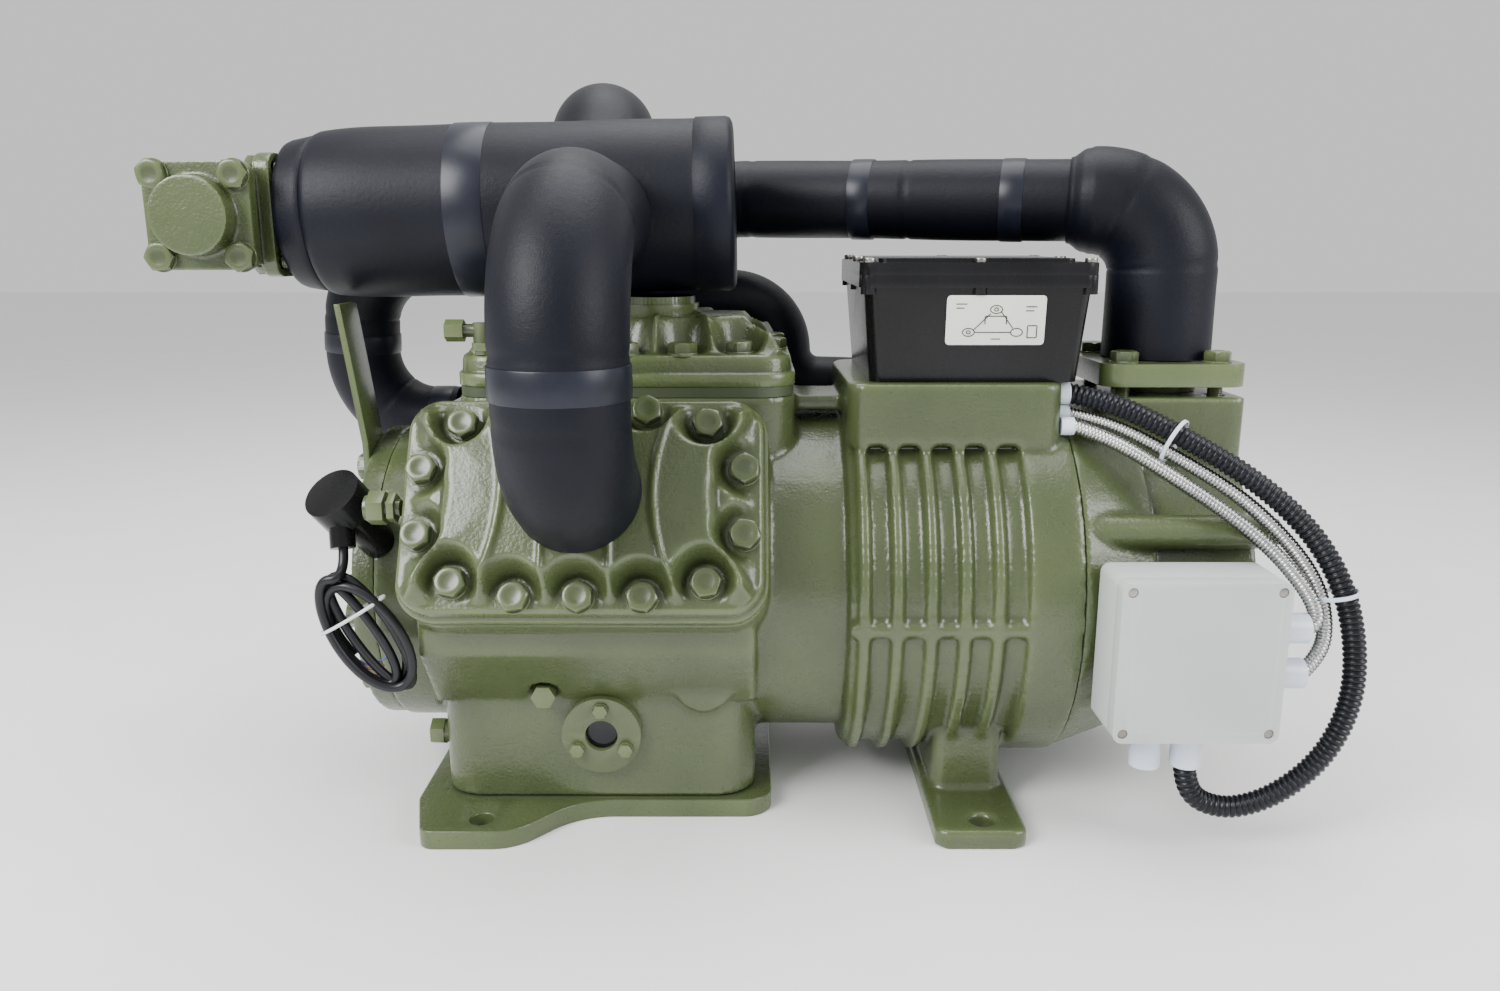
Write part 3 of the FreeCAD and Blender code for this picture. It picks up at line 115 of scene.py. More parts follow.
def finish(name, dark, light, rough, grain=900, blotch=12, bump=0.0002, relief=0.5, specks=0.0, **plain):
    """A finish: two colours blended by slow blotches, with painted shade in hollows and a painted highlight
    on edges from the piece's relief attribute, roughness between two values, and grain as bump of a real
    height in metres."""
    made = bpy.data.materials.new(name)
    made.use_nodes = True
    nodes, links = made.node_tree.nodes, made.node_tree.links
    shader = nodes["Principled BSDF"]
    where = nodes.new("ShaderNodeTexCoord")
    marks = nodes.new("ShaderNodeGroup")
    marks.node_tree = MARKS
    marks.inputs["Grain"].default_value = grain
    marks.inputs["Blotch"].default_value = blotch
    links.new(where.outputs["Object"], marks.inputs["Position"])
    tint = nodes.new("ShaderNodeMix")
    tint.data_type = "RGBA"
    tint.inputs["A"].default_value = (*dark, 1)
    tint.inputs["B"].default_value = (*light, 1)
    links.new(marks.outputs["Variation"], tint.inputs["Factor"])
    # Painted shade and highlight: the colour is scaled down in hollows and up on edges by the relief
    # attribute.
    shading_attribute = nodes.new("ShaderNodeAttribute")
    shading_attribute.attribute_name = "relief"
    shade = nodes.new("ShaderNodeMath")
    shade.operation = "MULTIPLY_ADD"
    shade.inputs[1].default_value = relief
    shade.inputs[2].default_value = 1.0
    links.new(shading_attribute.outputs["Fac"], shade.inputs[0])
    toned = nodes.new("ShaderNodeVectorMath")
    toned.operation = "SCALE"
    links.new(tint.outputs["Result"], toned.inputs[0])
    links.new(shade.outputs[0], toned.inputs["Scale"])
    pitted = nodes.new("ShaderNodeMix")
    pitted.data_type = "RGBA"
    pitted.inputs["B"].default_value = (*(channel * 0.35 for channel in dark), 1)
    amount = nodes.new("ShaderNodeMath")
    amount.operation = "MULTIPLY"
    amount.inputs[1].default_value = specks
    links.new(marks.outputs["Specks"], amount.inputs[0])
    links.new(amount.outputs[0], pitted.inputs["Factor"])
    links.new(toned.outputs[0], pitted.inputs["A"])
    links.new(pitted.outputs["Result"], shader.inputs["Base Color"])
    gloss = nodes.new("ShaderNodeMapRange")
    gloss.inputs["To Min"].default_value = rough[0]
    gloss.inputs["To Max"].default_value = rough[1]
    links.new(marks.outputs["Height"], gloss.inputs["Value"])
    links.new(gloss.outputs["Result"], shader.inputs["Roughness"])
    relief_bump = nodes.new("ShaderNodeBump")
    relief_bump.inputs["Strength"].default_value = 1.0
    relief_bump.inputs["Distance"].default_value = bump
    links.new(marks.outputs["Height"], relief_bump.inputs["Height"])
    links.new(relief_bump.outputs["Normal"], shader.inputs["Normal"])
    for socket, amount_set in plain.items():
        shader.inputs[socket.replace("_", " ")].default_value = amount_set
    return made


floor_mesh = bpy.data.meshes.new("floor")
floor_mesh.from_pydata([(-9, -9, 0), (9, -9, 0), (9, 9, 0), (-9, 9, 0)], [], [(0, 1, 2, 3)])
floor = bpy.data.objects.new("floor", floor_mesh)
scene.collection.objects.link(floor)
floor_mesh.materials.append(finish("floor_paper", (0.86, 0.86, 0.86), (0.88, 0.88, 0.88), (0.8, 0.95),
                                   relief=0, bump=0))

# ------------------------------------------------------------------------------------------------
# Conduits and the switch cable.  Each line is a smooth spline through the route's own points; the
# tubes are skins carried along it, ribbed for the black plastic and the interlocked steel conduits.


def grid_solid(points):
    """Vertices, quads and triangles over a grid [row, column]: columns run round and meet, and each end
    row is shut by a fan to its middle.  Faces are turned outward by the sign of the enclosed volume."""
    rows, columns = points.shape[:2]
    index = np.arange(rows * columns).reshape(rows, columns)
    beside = np.roll(index, -1, axis=1)
    quads = np.stack([index[:-1], beside[:-1], beside[1:], index[1:]], axis=-1).reshape(-1, 4)
    vertices = np.vstack([points.reshape(-1, 3), points[0].mean(0), points[-1].mean(0)])
    first = np.stack([beside[0], index[0], np.full(columns, rows * columns)], -1)
    last = np.stack([index[-1], beside[-1], np.full(columns, rows * columns + 1)], -1)
    fans = np.vstack([first, last])
    triangles = np.vstack([quads[:, [0, 1, 2]], quads[:, [0, 2, 3]], fans])
    a, b, c = (vertices[triangles[:, corner]] for corner in range(3))
    if np.einsum("ij,ij->", a, np.cross(b, c)) < 0:
        quads, fans = quads[:, ::-1], fans[:, ::-1]
    return vertices, quads, fans


def merged(solids):
    """One set of vertices, quads and triangles from several."""
    shift = np.cumsum([0] + [len(solid[0]) for solid in solids[:-1]])
    return (np.vstack([solid[0] for solid in solids]),
            np.vstack([solid[1] + by for solid, by in zip(solids, shift)]),
            np.vstack([solid[2] + by for solid, by in zip(solids, shift)]))


def mesh_of(name, solid):
    """A mesh from vertices, quads and triangles."""
    mesh = bpy.data.meshes.new(name)
    mesh.from_pydata(solid[0].tolist(), [], solid[1].tolist() + solid[2].tolist())
    return mesh


def mount(name, mesh, look, slot, *nodes, crease=38):
    """Give a mesh its relief attribute and finish, and put it on the compressor in place of its CAD nodes.
    Relief is how far each vertex stands out of the middle of its neighbours, smoothed twice; the finishes
    turn it into painted shade in hollows and a painted highlight on edges."""
    count = len(mesh.vertices)
    edges = np.empty(len(mesh.edges) * 2, int)
    mesh.edges.foreach_get("vertices", edges)
    edges = edges.reshape(-1, 2)
    place = np.empty(count * 3)
    mesh.vertices.foreach_get("co", place)
    place = place.reshape(-1, 3)
    normal = np.empty(count * 3)
    mesh.vertices.foreach_get("normal", normal)
    normal = normal.reshape(-1, 3)
    links = np.maximum(np.bincount(edges.ravel(), minlength=count), 1)

    def around(values):
        """The mean over each vertex's neighbours."""
        both = np.concatenate([edges, edges[:, ::-1]])
        return np.stack([np.bincount(both[:, 0], values[both[:, 1], axis], count)
                         for axis in range(values.shape[1])], -1) / links[:, None]

    span = np.linalg.norm(place[edges[:, 0]] - place[edges[:, 1]], axis=1).mean()
    # The mask for painted shade in hollows (below zero) and a painted highlight on edges (above zero).
    relief = np.clip(((place - around(place)) * normal).sum(1) / span * 4, -1, 1)[:, None]
    for _ in range(2):
        relief = (relief + around(relief)) / 2
    shading_attribute = mesh.attributes.new("relief", "FLOAT", "POINT")
    shading_attribute.data.foreach_set("value", relief.ravel().astype(np.float32))
    mesh.polygons.foreach_set("use_smooth", np.ones(len(mesh.polygons), bool))
    mesh.set_sharp_from_angle(angle=math.radians(crease))
    mesh.materials.clear()
    mesh.materials.append(look)
    piece = bpy.data.objects.new(name, mesh)
    scene.collection.objects.link(piece)
    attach(piece, "compressor")
    if nodes:
        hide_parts(*nodes)
    return piece


def spline_line(name, route):
    """Points read off a smooth open spline whose control points are the route, in metres."""
    curve = bpy.data.curves.new(name, "CURVE")
    curve.dimensions = "3D"
    curve.resolution_u = 24
    spline = curve.splines.new("NURBS")
    spline.points.add(len(route) - 1)
    spline.points.foreach_set("co", np.column_stack([route, np.ones(len(route))]).ravel())
    spline.order_u = 3
    spline.use_endpoint_u = True
    line = bpy.data.objects.new(name, curve)
    read = bpy.data.meshes.new_from_object(line)
    points = np.array([vertex.co for vertex in read.vertices])
    bpy.data.objects.remove(line)
    return points


def evenly(line, step):
    """The same line with points an even step apart, and the distance of each along it."""
    along = np.concatenate([[0], np.cumsum(np.linalg.norm(np.diff(line, axis=0), axis=1))])
    spots = np.linspace(0, along[-1], max(3, round(along[-1] / step) + 1))
    return np.stack([np.interp(spots, along, line[:, axis]) for axis in range(3)], -1), spots


def sleeve_skin(line, radius, across, columns=24):
    """A skin round a line: at each point a ring square to the line, its radius from radius(along, turn).
    The ring's own axes come from the line's direction and one fixed direction across it."""
    centre, along = line
    ahead = np.gradient(centre, axis=0)
    ahead /= np.linalg.norm(ahead, axis=1)[:, None]
    side = np.cross(ahead, across)
    side /= np.linalg.norm(side, axis=1)[:, None]
    up = np.cross(ahead, side)
    turn = np.linspace(0, 2 * np.pi, columns, endpoint=False)
    reach = radius(along[:, None], turn[None, :]) * np.ones((len(along), columns))
    ring = np.cos(turn)[None, :, None] * side[:, None] + np.sin(turn)[None, :, None] * up[:, None]
    return grid_solid(centre[:, None] + reach[..., None] * ring)


BLACK_ROUTE = np.array([(262, -62, 329), (290, -74, 325), (332, -104, 305), (376, -134, 279),
                        (413, -151, 247), (438, -162, 208), (450, -168, 164), (451, -172, 120),
                        (437, -172, 78), (408, -172, 48), (375, -172, 34), (349, -172, 38),
                        (335, -172, 52), (333, -172, 70)]) * MM
UPPER_ROUTE = np.array([(262, -80, 306), (288, -90, 298), (325, -114, 276), (364, -138, 250),
                        (390, -153, 228), (408, -164, 206), (417, -170, 190), (418, -172, 178),
                        (411, -172, 175)]) * MM
LOWER_ROUTE = np.array([(262, -64, 313), (290, -76, 309), (330, -106, 289), (371, -134, 264),
                        (400, -149, 236), (421, -157, 208), (430, -161, 180), (426, -169, 154),
                        (411, -172, 141)]) * MM
ACROSS = (0.0, 1.0, 0.0)


def corrugated(along, turn):
    """Round ribs 4.4 mm apart and 1.3 mm deep."""
    wave = 0.5 + 0.5 * np.cos(2 * np.pi * along / (4.4 * MM))
    return (8.2 - 1.3 * (1 - wave) ** 1.6 + 0 * turn) * MM


def interlocked(along, turn):
    """A strip wound at 2.7 mm a turn, its edge standing out of the coil before it."""
    phase = (along / (2.7 * MM) + turn / (2 * np.pi)) % 1
    return (5.7 - 0.75 * np.abs(2 * phase - 1) ** 2) * MM


black_plastic = finish("conduit_plastic", (0.004, 0.004, 0.006), (0.007, 0.008, 0.012), (0.22, 0.34),
                       grain=1500, bump=0.00003, relief=0.6, Specular_IOR_Level=0.3)
bright_steel = finish("galvanised_strip", (0.26, 0.26, 0.26), (0.42, 0.42, 0.41), (0.2, 0.34), grain=1800,
                      bump=0.00003, relief=0.8, Metallic=1.0)
BLACK = (corrugated, 16.5, black_plastic, "conduit_black", 0.55)
STEEL = (interlocked, 11.5, bright_steel, "conduit_metal", 0.4)
for name, route, length, (shape, diameter, look, slot, step) in (
        ("black_conduit_tube", BLACK_ROUTE, 516, BLACK),
        ("metal_conduit_tube_upper", UPPER_ROUTE, 236, STEEL),
        ("metal_conduit_tube_lower", LOWER_ROUTE, 294, STEEL)):
    line = evenly(spline_line(name + "_line", route), step * MM)
    tube_mesh = mesh_of(name, sleeve_skin(line, shape, ACROSS))
    tube = mount(name, tube_mesh, look, slot, name.replace("_tube", ""))

# The level switch's cable: out of the gland, then four and a half loose turns in a hank.

EXIT = np.array([-279.7, -151.5, 228.5]) * MM
LEAD = np.array([-278.3, -155.7, 217.3]) * MM
LONG_AXIS = np.array([0.505, 0, -0.863])
SHORT_AXIS = np.array([0.863, 0, 0.505])
HANK_MIDDLE = np.array([-265, -160, 166]) * MM
TURNS, POINTS_A_TURN = 4.45, 14
step_angle = np.arange(round(TURNS * POINTS_A_TURN)) / POINTS_A_TURN * 2 * np.pi
turn_number = step_angle / (2 * np.pi)
start_angle = math.pi * 0.86
half_long = 45.5 + 4.5 * np.cos(turn_number * 2.3)
half_short = 17.5 + 6.4 * np.sin(turn_number * 1.9 + 0.6)
drift = 4.0 * np.sin(turn_number * 2.9)
depth = -7.2 + 14.4 * turn_number / TURNS + 1.5 * np.sin(step_angle * 2)
hank = (HANK_MIDDLE + (np.cos(step_angle + start_angle) * half_long)[:, None] * LONG_AXIS * MM
        + ((np.sin(step_angle + start_angle) * half_short + drift)[:, None] * SHORT_AXIS) * MM
        + depth[:, None] * np.array([0, 1, 0]) * MM)
cable_route = np.vstack([EXIT, LEAD, hank])
cable_line = evenly(spline_line("cable_line", cable_route), 2.2 * MM)
cable_look = finish("cable_jacket", (0.004, 0.004, 0.006), (0.009, 0.009, 0.012), (0.28, 0.42), grain=1400,
                    bump=0.00004, Specular_IOR_Level=0.4)
cable = mount("switch_cable_tube", mesh_of("switch_cable_tube", sleeve_skin(
    cable_line, lambda along, turn: 3.5 * MM + 0 * along * turn, ACROSS, 16)), cable_look, "cable_jacket",
    "switch_cable", "cable_hank")
white_nylon = finish("tie_nylon", (0.66, 0.68, 0.70), (0.76, 0.78, 0.80), (0.25, 0.35), relief=0)
TIE_TURN = np.linspace(0, 2 * np.pi, 40)
tie_loop = (HANK_MIDDLE - LONG_AXIS * 17 * MM)[None, :] + (
    np.cos(TIE_TURN)[:, None] * SHORT_AXIS * 27
    + np.sin(TIE_TURN)[:, None] * np.array([0, 1, 0]) * 13.5) * MM
mount("hank_tie", mesh_of("hank_tie", sleeve_skin(
    evenly(tie_loop, 1.5 * MM), lambda along, turn: 1.3 * MM + 0 * along * turn, tuple(LONG_AXIS), 10)),
    white_nylon, "tie_plastic")
for index, colour in enumerate(((0.35, 0.04, 0.03), (0.45, 0.16, 0.14), (0.10, 0.10, 0.35))):
    end = cable_line[0][-1]
    bend = end + (cable_line[0][-1] - cable_line[0][-4]) * 1.3
    route = np.array([end - (bend - end) * 0.4, bend,
                      bend + np.array([5 + 4 * index, -2, -9 + 5 * index]) * MM,
                      bend + np.array([15 + 3 * index, -3, -6 + 7 * index]) * MM])
    line = evenly(spline_line("wire_line", route), 1.2 * MM)
    look = finish("wire_%d" % index, colour, colour, (0.3, 0.4), relief=0)
    mount("wire_%d" % index, mesh_of("wire_%d" % index, sleeve_skin(
        line, lambda along, turn: 0.8 * MM + 0 * along * turn, ACROSS, 10)), look, "cable_jacket")

# ------------------------------------------------------------------------------------------------
# Housing, motor cover, crank-end cover, pump and valve body: grey iron sand castings, enamelled olive.
# The frame's own shape is skinned anew in fine cells and smoothed, which rounds it as a mould does.

paint = dict(dark=(0.052, 0.070, 0.026), light=(0.072, 0.094, 0.037), rough=(0.20, 0.38), grain=430,
             blotch=9, bump=0.00085, relief=0.75, specks=0.45, Coat_Weight=0.3, Coat_Roughness=0.18)
cast_paint = finish("cast_enamel", **paint)
smooth_paint = finish("smooth_enamel", **{**paint, "bump": 0.00008, "grain": 900, "specks": 0.1})


def round_bar(start, end, radius, columns=64):
    """A plain cylinder between two points, as an array solid."""
    start, end = np.array(start) * MM, np.array(end) * MM
    ahead = (end - start) / np.linalg.norm(end - start)
    across = np.cross(ahead, (0.31, 0.52, 0.79))
    across /= np.linalg.norm(across)
    turn = np.linspace(0, 2 * np.pi, columns, endpoint=False)[:, None]
    ring = (np.cos(turn) * across + np.sin(turn) * np.cross(ahead, across)) * radius * MM
    return grid_solid(np.stack([start + ring, end + ring]))


def copied(*nodes):
    """A merged copy of CAD meshes."""
    shell = bmesh.new()
    for node in nodes:
        shell.from_mesh(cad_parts[node].data)
    bmesh.ops.remove_doubles(shell, verts=shell.verts, dist=1e-6)
    return shell


def casting(name, nodes, cell, fill=(), rounds=5, faces=190000):
    """CAD shapes and the solids that fill their cavities, skinned in cubes of one cell, smoothed, and
    thinned to at most so many triangles."""
    shell = copied(*nodes)
    for solid in fill:
        shell.from_mesh(mesh_of("fill", solid))
    raw = bpy.data.meshes.new(name)
    shell.to_mesh(raw)
    shell.free()
    rough = bpy.data.objects.new(name + "_rough", raw)
    scene.collection.objects.link(rough)
    skin = rough.modifiers.new("skin", "REMESH")
    skin.mode = "VOXEL"
    skin.voxel_size = cell * MM
    soften = rough.modifiers.new("soften", "SMOOTH")
    soften.factor = 0.5
    soften.iterations = rounds
    made = bpy.data.meshes.new_from_object(rough.evaluated_get(bpy.context.evaluated_depsgraph_get()))
    count = len(made.polygons) * 2
    if count > faces:
        rough.modifiers.clear()
        rough.data = made
        thin = rough.modifiers.new("thin", "DECIMATE")
        thin.ratio = faces / count
        made = bpy.data.meshes.new_from_object(rough.evaluated_get(bpy.context.evaluated_depsgraph_get()))
    bpy.data.objects.remove(rough)
    return made


BANKS = {"front": (-104, 60), "top": (-82, 0), "rear": (-126, -60)}
SHAFT_Z = 170


def on_bank(points, bank):
    """Local points of a bank, upright about the shaft, turned and moved to their place, in metres."""
    middle, degrees = BANKS[bank]
    angle = math.radians(degrees)
    x, y, z = points[..., 0], points[..., 1], points[..., 2]
    return np.stack([x + middle, y * math.cos(angle) - z * math.sin(angle),
                     SHAFT_Z + y * math.sin(angle) + z * math.cos(angle)], -1) * MM


def bank_plug(bank, x):
    """A bar that fills one cylinder bore up to just under the deck."""
    low, high = on_bank(np.array([[x, 0, 50], [x, 0, 157.5]]), bank) / MM
    return round_bar(low, high, 43)


def cuboid(low, high):
    """A box between two corners in millimetres."""
    (x0, y0, z0), (x1, y1, z1) = np.array(low) * MM, np.array(high) * MM
    ring = np.array([[x0, y0], [x1, y0], [x1, y1], [x0, y1]])
    return grid_solid(np.stack([np.column_stack([ring, np.full(4, z)]) for z in (z0, z1)]))


housing_fill = [bank_plug(bank, x) for bank in BANKS for x in (-55, 55)]
housing_fill += [round_bar((-270, 0, 170), (30, 0, 170), 84), round_bar((40, 0, 168), (258, 0, 168), 128),
                 cuboid((-218, -110, 16.2), (5, 110, 90)), round_bar((150, 125, 195), (150, 125, 269), 19),
                 cuboid((120, -48, 285), (218, 48, 339)), round_bar((8, 0, 172), (95, 0, 172), 134, 160),
                 round_bar((-101, -122, 72), (-101, -100, 72), 15)]
mount("housing_casting", casting("housing_casting", ["housing"], 2.6, housing_fill, 6), cast_paint,
      "casting_paint", "housing")
mount("motor_cover_casting", casting("motor_cover_casting", ["motor_cover"], 2.3,
      [round_bar((261, 0, 168), (380, 0, 168), 117), round_bar((349, 0, 240), (349, 0, 324), 31)], 5,
      150000),
      cast_paint, "casting_paint", "motor_cover")
mount("bearing_cover_casting", casting("bearing_cover_casting", ["bearing_cover", "oil_pump"], 1.8,
      [round_bar((-270, 0, 170), (-255, 0, 170), 78)], 4, 90000), cast_paint, "casting_paint",
      "bearing_cover", "oil_pump")
mount("valve_casting", casting("valve_casting", ["valve_body"], 1.3, (), 4, 80000), cast_paint,
      "casting_paint", "valve_body")
mount("bonnet_casting", casting("bonnet_casting", ["valve_bonnet"], 1.2,
      [round_bar((-398, -74, 463), (-398, -86.6, 463), 9)], 3, 60000), cast_paint,
      "casting_paint", "valve_bonnet")

# ------------------------------------------------------------------------------------------------
# Cylinder heads: iron castings bolted to their banks.  The face is a crown between a ledge at the
# edge and round bolt pockets, ribbed from end to end, with a lower shoulder beyond two bowed ribs.

HEAD_BOLTS = np.array([(side * 87.5, edge * 58) for side in (-1, 1) for edge in (-1, 1)]
                      + [(side * 114, edge * 24) for side in (-1, 1) for edge in (-1, 1)]
                      + [(along, edge * 68) for along in (-44, 0, 44) for edge in (-1, 1)])
HALF_LONG, HALF_WIDE, CORNER = 131, 82, 28
BASE, SEAT, CROWN = 166, 190, 218


def ease(low, high, value):
    """A smooth step from 0 at low to 1 at high."""
    share = np.clip((value - low) / (high - low), 0, 1)
    return share * share * (3 - 2 * share)


def rounded_ring(half_x, half_y, corner, count):
    """Points evenly round a rounded rectangle, and the outward direction at each: four arcs and four
    straights, by distance along the outline."""
    flat_x, flat_y, arc = 2 * (half_x - corner), 2 * (half_y - corner), math.pi / 2 * corner
    spots = np.arange(count) / count * (2 * flat_x + 2 * flat_y + 4 * arc)
    ends = np.cumsum([flat_x, arc, flat_y, arc, flat_x, arc, flat_y, arc])
    ends = np.concatenate([[0], ends])
    angle = np.interp(spots, ends, np.radians([-90, -90, 0, 0, 90, 90, 180, 180, 270]))
    centre_x = np.interp(spots, ends, np.array([-1, 1, 1, 1, 1, -1, -1, -1, -1]) * flat_x / 2)
    centre_y = np.interp(spots, ends, np.array([-1, -1, -1, 1, 1, 1, 1, -1, -1]) * flat_y / 2)
    outward = np.stack([np.cos(angle), np.sin(angle)], -1)
    return np.stack([centre_x, centre_y], -1) + corner * outward, outward


def head_height(x, y):
    """Height over the bolt seats: crown times edge slope times pockets, plus ribs."""
    margin = np.minimum(HALF_LONG - np.abs(x), HALF_WIDE - np.abs(y))
    bow = np.hypot(np.abs(x) - 175.6, y) - 84.6
    inside = ease(-5, 6, bow)
    crown = (CROWN - SEAT - 1.5) * (0.50 + 0.50 * inside) * ease(7, 30, margin)
    crown += 1.5 * ease(30, 70, margin)
    pocket = np.ones_like(x)
    for bolt in HEAD_BOLTS:
        pocket = np.minimum(pocket, ease(13.5, 25, np.hypot(x - bolt[0], y - bolt[1])))
    ribs = np.exp(-(bow / 3.0) ** 2) * 4.5
    ribs += np.exp(-((np.abs(x) - 52 - 0.0034 * y * y) / 2.2) ** 2) * 2.6
    ribs += np.exp(-((np.abs(x) - 23) / 2.0) ** 2) * 2.2
    return crown * pocket + ribs * ease(9, 20, margin) * ease(0.15, 0.75, pocket)


def head_solid(bank):
    """Rows of the head from its gasket face up the stepped side, and in over the face to its middle."""
    ring, outward = rounded_ring(HALF_LONG, HALF_WIDE, CORNER, 430)
    rows = [np.column_stack([ring - outward * inset, np.full(len(ring), height)])
            for inset, height in ((0.6, BASE), (0, BASE + 0.6), (0, BASE + 9), (0.8, BASE + 10),
                                  (2.4, BASE + 10.8), (2.8, BASE + 12), (3.2, SEAT - 5), (4.2, SEAT - 1.6),
                                  (6.5, SEAT))]
    for share in np.linspace(1, 0, 66)[:-1]:
        flat = (ring - outward * 6.6) * share
        rows.append(np.column_stack([flat, SEAT + head_height(flat[:, 0], flat[:, 1])]))
    return grid_solid(on_bank(np.stack(rows), bank))


for bank in BANKS:
    shapes = [head_solid(bank)]
    if bank == "top":
        shapes.append(round_bar((-62, 0, 380), (-62, 0, 401), 31))
        shapes.append(round_bar((-62, 0, 380), (-62, 0, 391), 34))
    name = bank + "_head_casting"
    mount(name, mesh_of(name, merged(shapes)), cast_paint, "casting_paint", bank + "_head", crease=70)

# ------------------------------------------------------------------------------------------------
# Hexagon bolts with a washer face, chamfered top and a slight dish, painted over with the castings.


def hexagon_head(corner, height, collar, columns=36):
    """A bolt head on its seat: a round collar, then a hexagonal ring whose radius is the flat distance
    over the cosine of the angle from the flat's middle, its corners cut down by the chamfer."""
    turn = np.linspace(0, 2 * np.pi, columns, endpoint=False)
    flat = corner * math.cos(math.pi / 6)
    hexa = flat / np.cos((turn % (math.pi / 3)) - math.pi / 6)
    drop = (hexa - flat) * 0.6 + 0.5
    level = np.ones(columns)
    rows = [(collar * level, -1 * level), (collar * level, 0.9 * level),
            (collar * 0.96 * level, 1.3 * level), (hexa * 0.99, 1.3 * level), (hexa, height - drop),
            (flat * 0.985 * level, (height - 0.25) * level),
            (flat * 0.92 * level, height * level), (flat * 0.62 * level, (height - 0.05) * level),
            (flat * 0.5 * level, (height - 0.4) * level)]
    return grid_solid(np.stack([np.stack([reach * np.cos(turn), reach * np.sin(turn), rise], -1)
                                for reach, rise in rows]))


def aimed(solid, place, direction, spin=0.0):
    """An upright solid in millimetres, turned so that its Z axis points along a direction, and moved."""
    z = np.array(direction, float)
    z /= np.linalg.norm(z)
    x = np.cross(z, (0.32, 0.87, -0.38))
    x /= np.linalg.norm(x)
    y = np.cross(z, x)
    x, y = x * math.cos(spin) + y * math.sin(spin), y * math.cos(spin) - x * math.sin(spin)
    return (np.array(place) + solid[0] @ np.stack([x, y, z])) * MM, solid[1], solid[2]


def bolts(heads):
    """Several bolts as one mesh: each is (corner radius, height, collar, place, direction)."""
    return merged([aimed(hexagon_head(corner, height, collar), place, direction, 0.7 * number)
                   for number, (corner, height, collar, place, direction) in enumerate(heads)])


bank_heads = []
for bank, (middle, degrees) in BANKS.items():
    angle = math.radians(degrees)
    for bolt in HEAD_BOLTS:
        place = on_bank(np.array([bolt[0], bolt[1], SEAT]), bank) / MM
        bank_heads.append((11.3, 9, 11.6, place, (0, -math.sin(angle), math.cos(angle))))
mount("head_bolt_set", mesh_of("head_bolt_set", bolts(bank_heads)), smooth_paint, "fastener_paint",
      "head_bolts")

ring_angles = np.radians(np.arange(14, 374, 36))
end_heads = []
for number, angle in enumerate(ring_angles):
    seat = -293 if number == 9 else -288
    end_heads.append((11, 9, 11.2, (seat, 104 * math.sin(angle), 170 + 104 * math.cos(angle)), (-1, 0, 0)))
for y, z in ((-118, 232), (118, 232), (-118, 104), (118, 104)):
    end_heads.append((11, 9, 11.2, (400, y, z), (1, 0, 0)))
mount("cover_bolt_set", mesh_of("cover_bolt_set", bolts(end_heads)), smooth_paint, "fastener_paint",
      "cover_bolts")


def stud(place, direction, radius, length):
    """A threaded rod: a round bar whose radius rises and falls with a 1.5 mm pitch wound round it."""
    rows = np.arange(0, length, 0.375)
    turn = np.linspace(0, 2 * np.pi, 20, endpoint=False)
    reach = radius - 0.45 * np.abs(2 * ((rows[:, None] / 1.5 + turn[None, :] / (2 * np.pi)) % 1) - 1)
    grid = np.stack([reach * np.cos(turn), reach * np.sin(turn), rows[:, None] * np.ones(20)], -1)
    return aimed(grid_solid(grid), place, direction)


flange_set = [(11, 9, 11, (x, y, 351), (0, 0, 1)) for x in (310, 384) for y in (-42, 42)]
flange_set += [(10, 8, 10, (-364, y, 464 + z), (-1, 0, 0)) for y in (-35, 35) for z in (-35, 35)]
flange_set += [(11.5, 7, 11.5, (-398 + x, -70, 463 + z), (0, -1, 0)) for x in (-30, 30) for z in (-30, 30)]
flange_bolts = [bolts(flange_set)]
flange_bolts += [stud((x, y, 324), (0, 0, 1), 6, 12) for x in (310, 384) for y in (-42, 42)]
flange_bolts += [stud((-351, y, 464 + z), (1, 0, 0), 5, 14) for y in (-35, 35) for z in (-35, 35)]
mount("flange_bolt_set", mesh_of("flange_bolt_set", merged(flange_bolts)), smooth_paint, "fastener_paint",
      "flange_bolts")

# ------------------------------------------------------------------------------------------------
# Plates, flanges, boxes and fittings that are machined, pressed or moulded: the frame's shape with
# every sharp edge broken by a small round.


def edged(name, nodes, width, look, slot, steps=3):
    """CAD shapes with flat faces made whole again, and every edge sharper than 32 degrees rounded."""
    shell = copied(*nodes)
    bmesh.ops.dissolve_limit(shell, angle_limit=math.radians(0.6), verts=shell.verts, edges=shell.edges)
    mesh = bpy.data.meshes.new(name)
    shell.to_mesh(mesh)
    shell.free()
    blank = bpy.data.objects.new(name + "_blank", mesh)
    scene.collection.objects.link(blank)
    rounding = blank.modifiers.new("rounding", "BEVEL")
    rounding.width = width * MM
    rounding.segments = steps
    rounding.limit_method = "ANGLE"
    rounding.angle_limit = math.radians(32)
    rounding.use_clamp_overlap = True
    made = bpy.data.meshes.new_from_object(blank.evaluated_get(bpy.context.evaluated_depsgraph_get()))
    bpy.data.objects.remove(blank)
    return mount(name, made, look, slot, *nodes, crease=35)


edged("bottom_plate_cast", ["bottom_plate"], 2.0, cast_paint, "casting_paint")
edged("motor_flange_plate", ["motor_flange"], 1.5, smooth_paint, "casting_paint")
edged("bracket_bar", ["header_bracket"], 0.8, smooth_paint, "casting_paint")
edged("glass_ring", ["sight_glass_ring"], 0.6, smooth_paint, "casting_paint")
edged("fitting_set", ["fittings"], 0.6, smooth_paint, "fastener_paint")

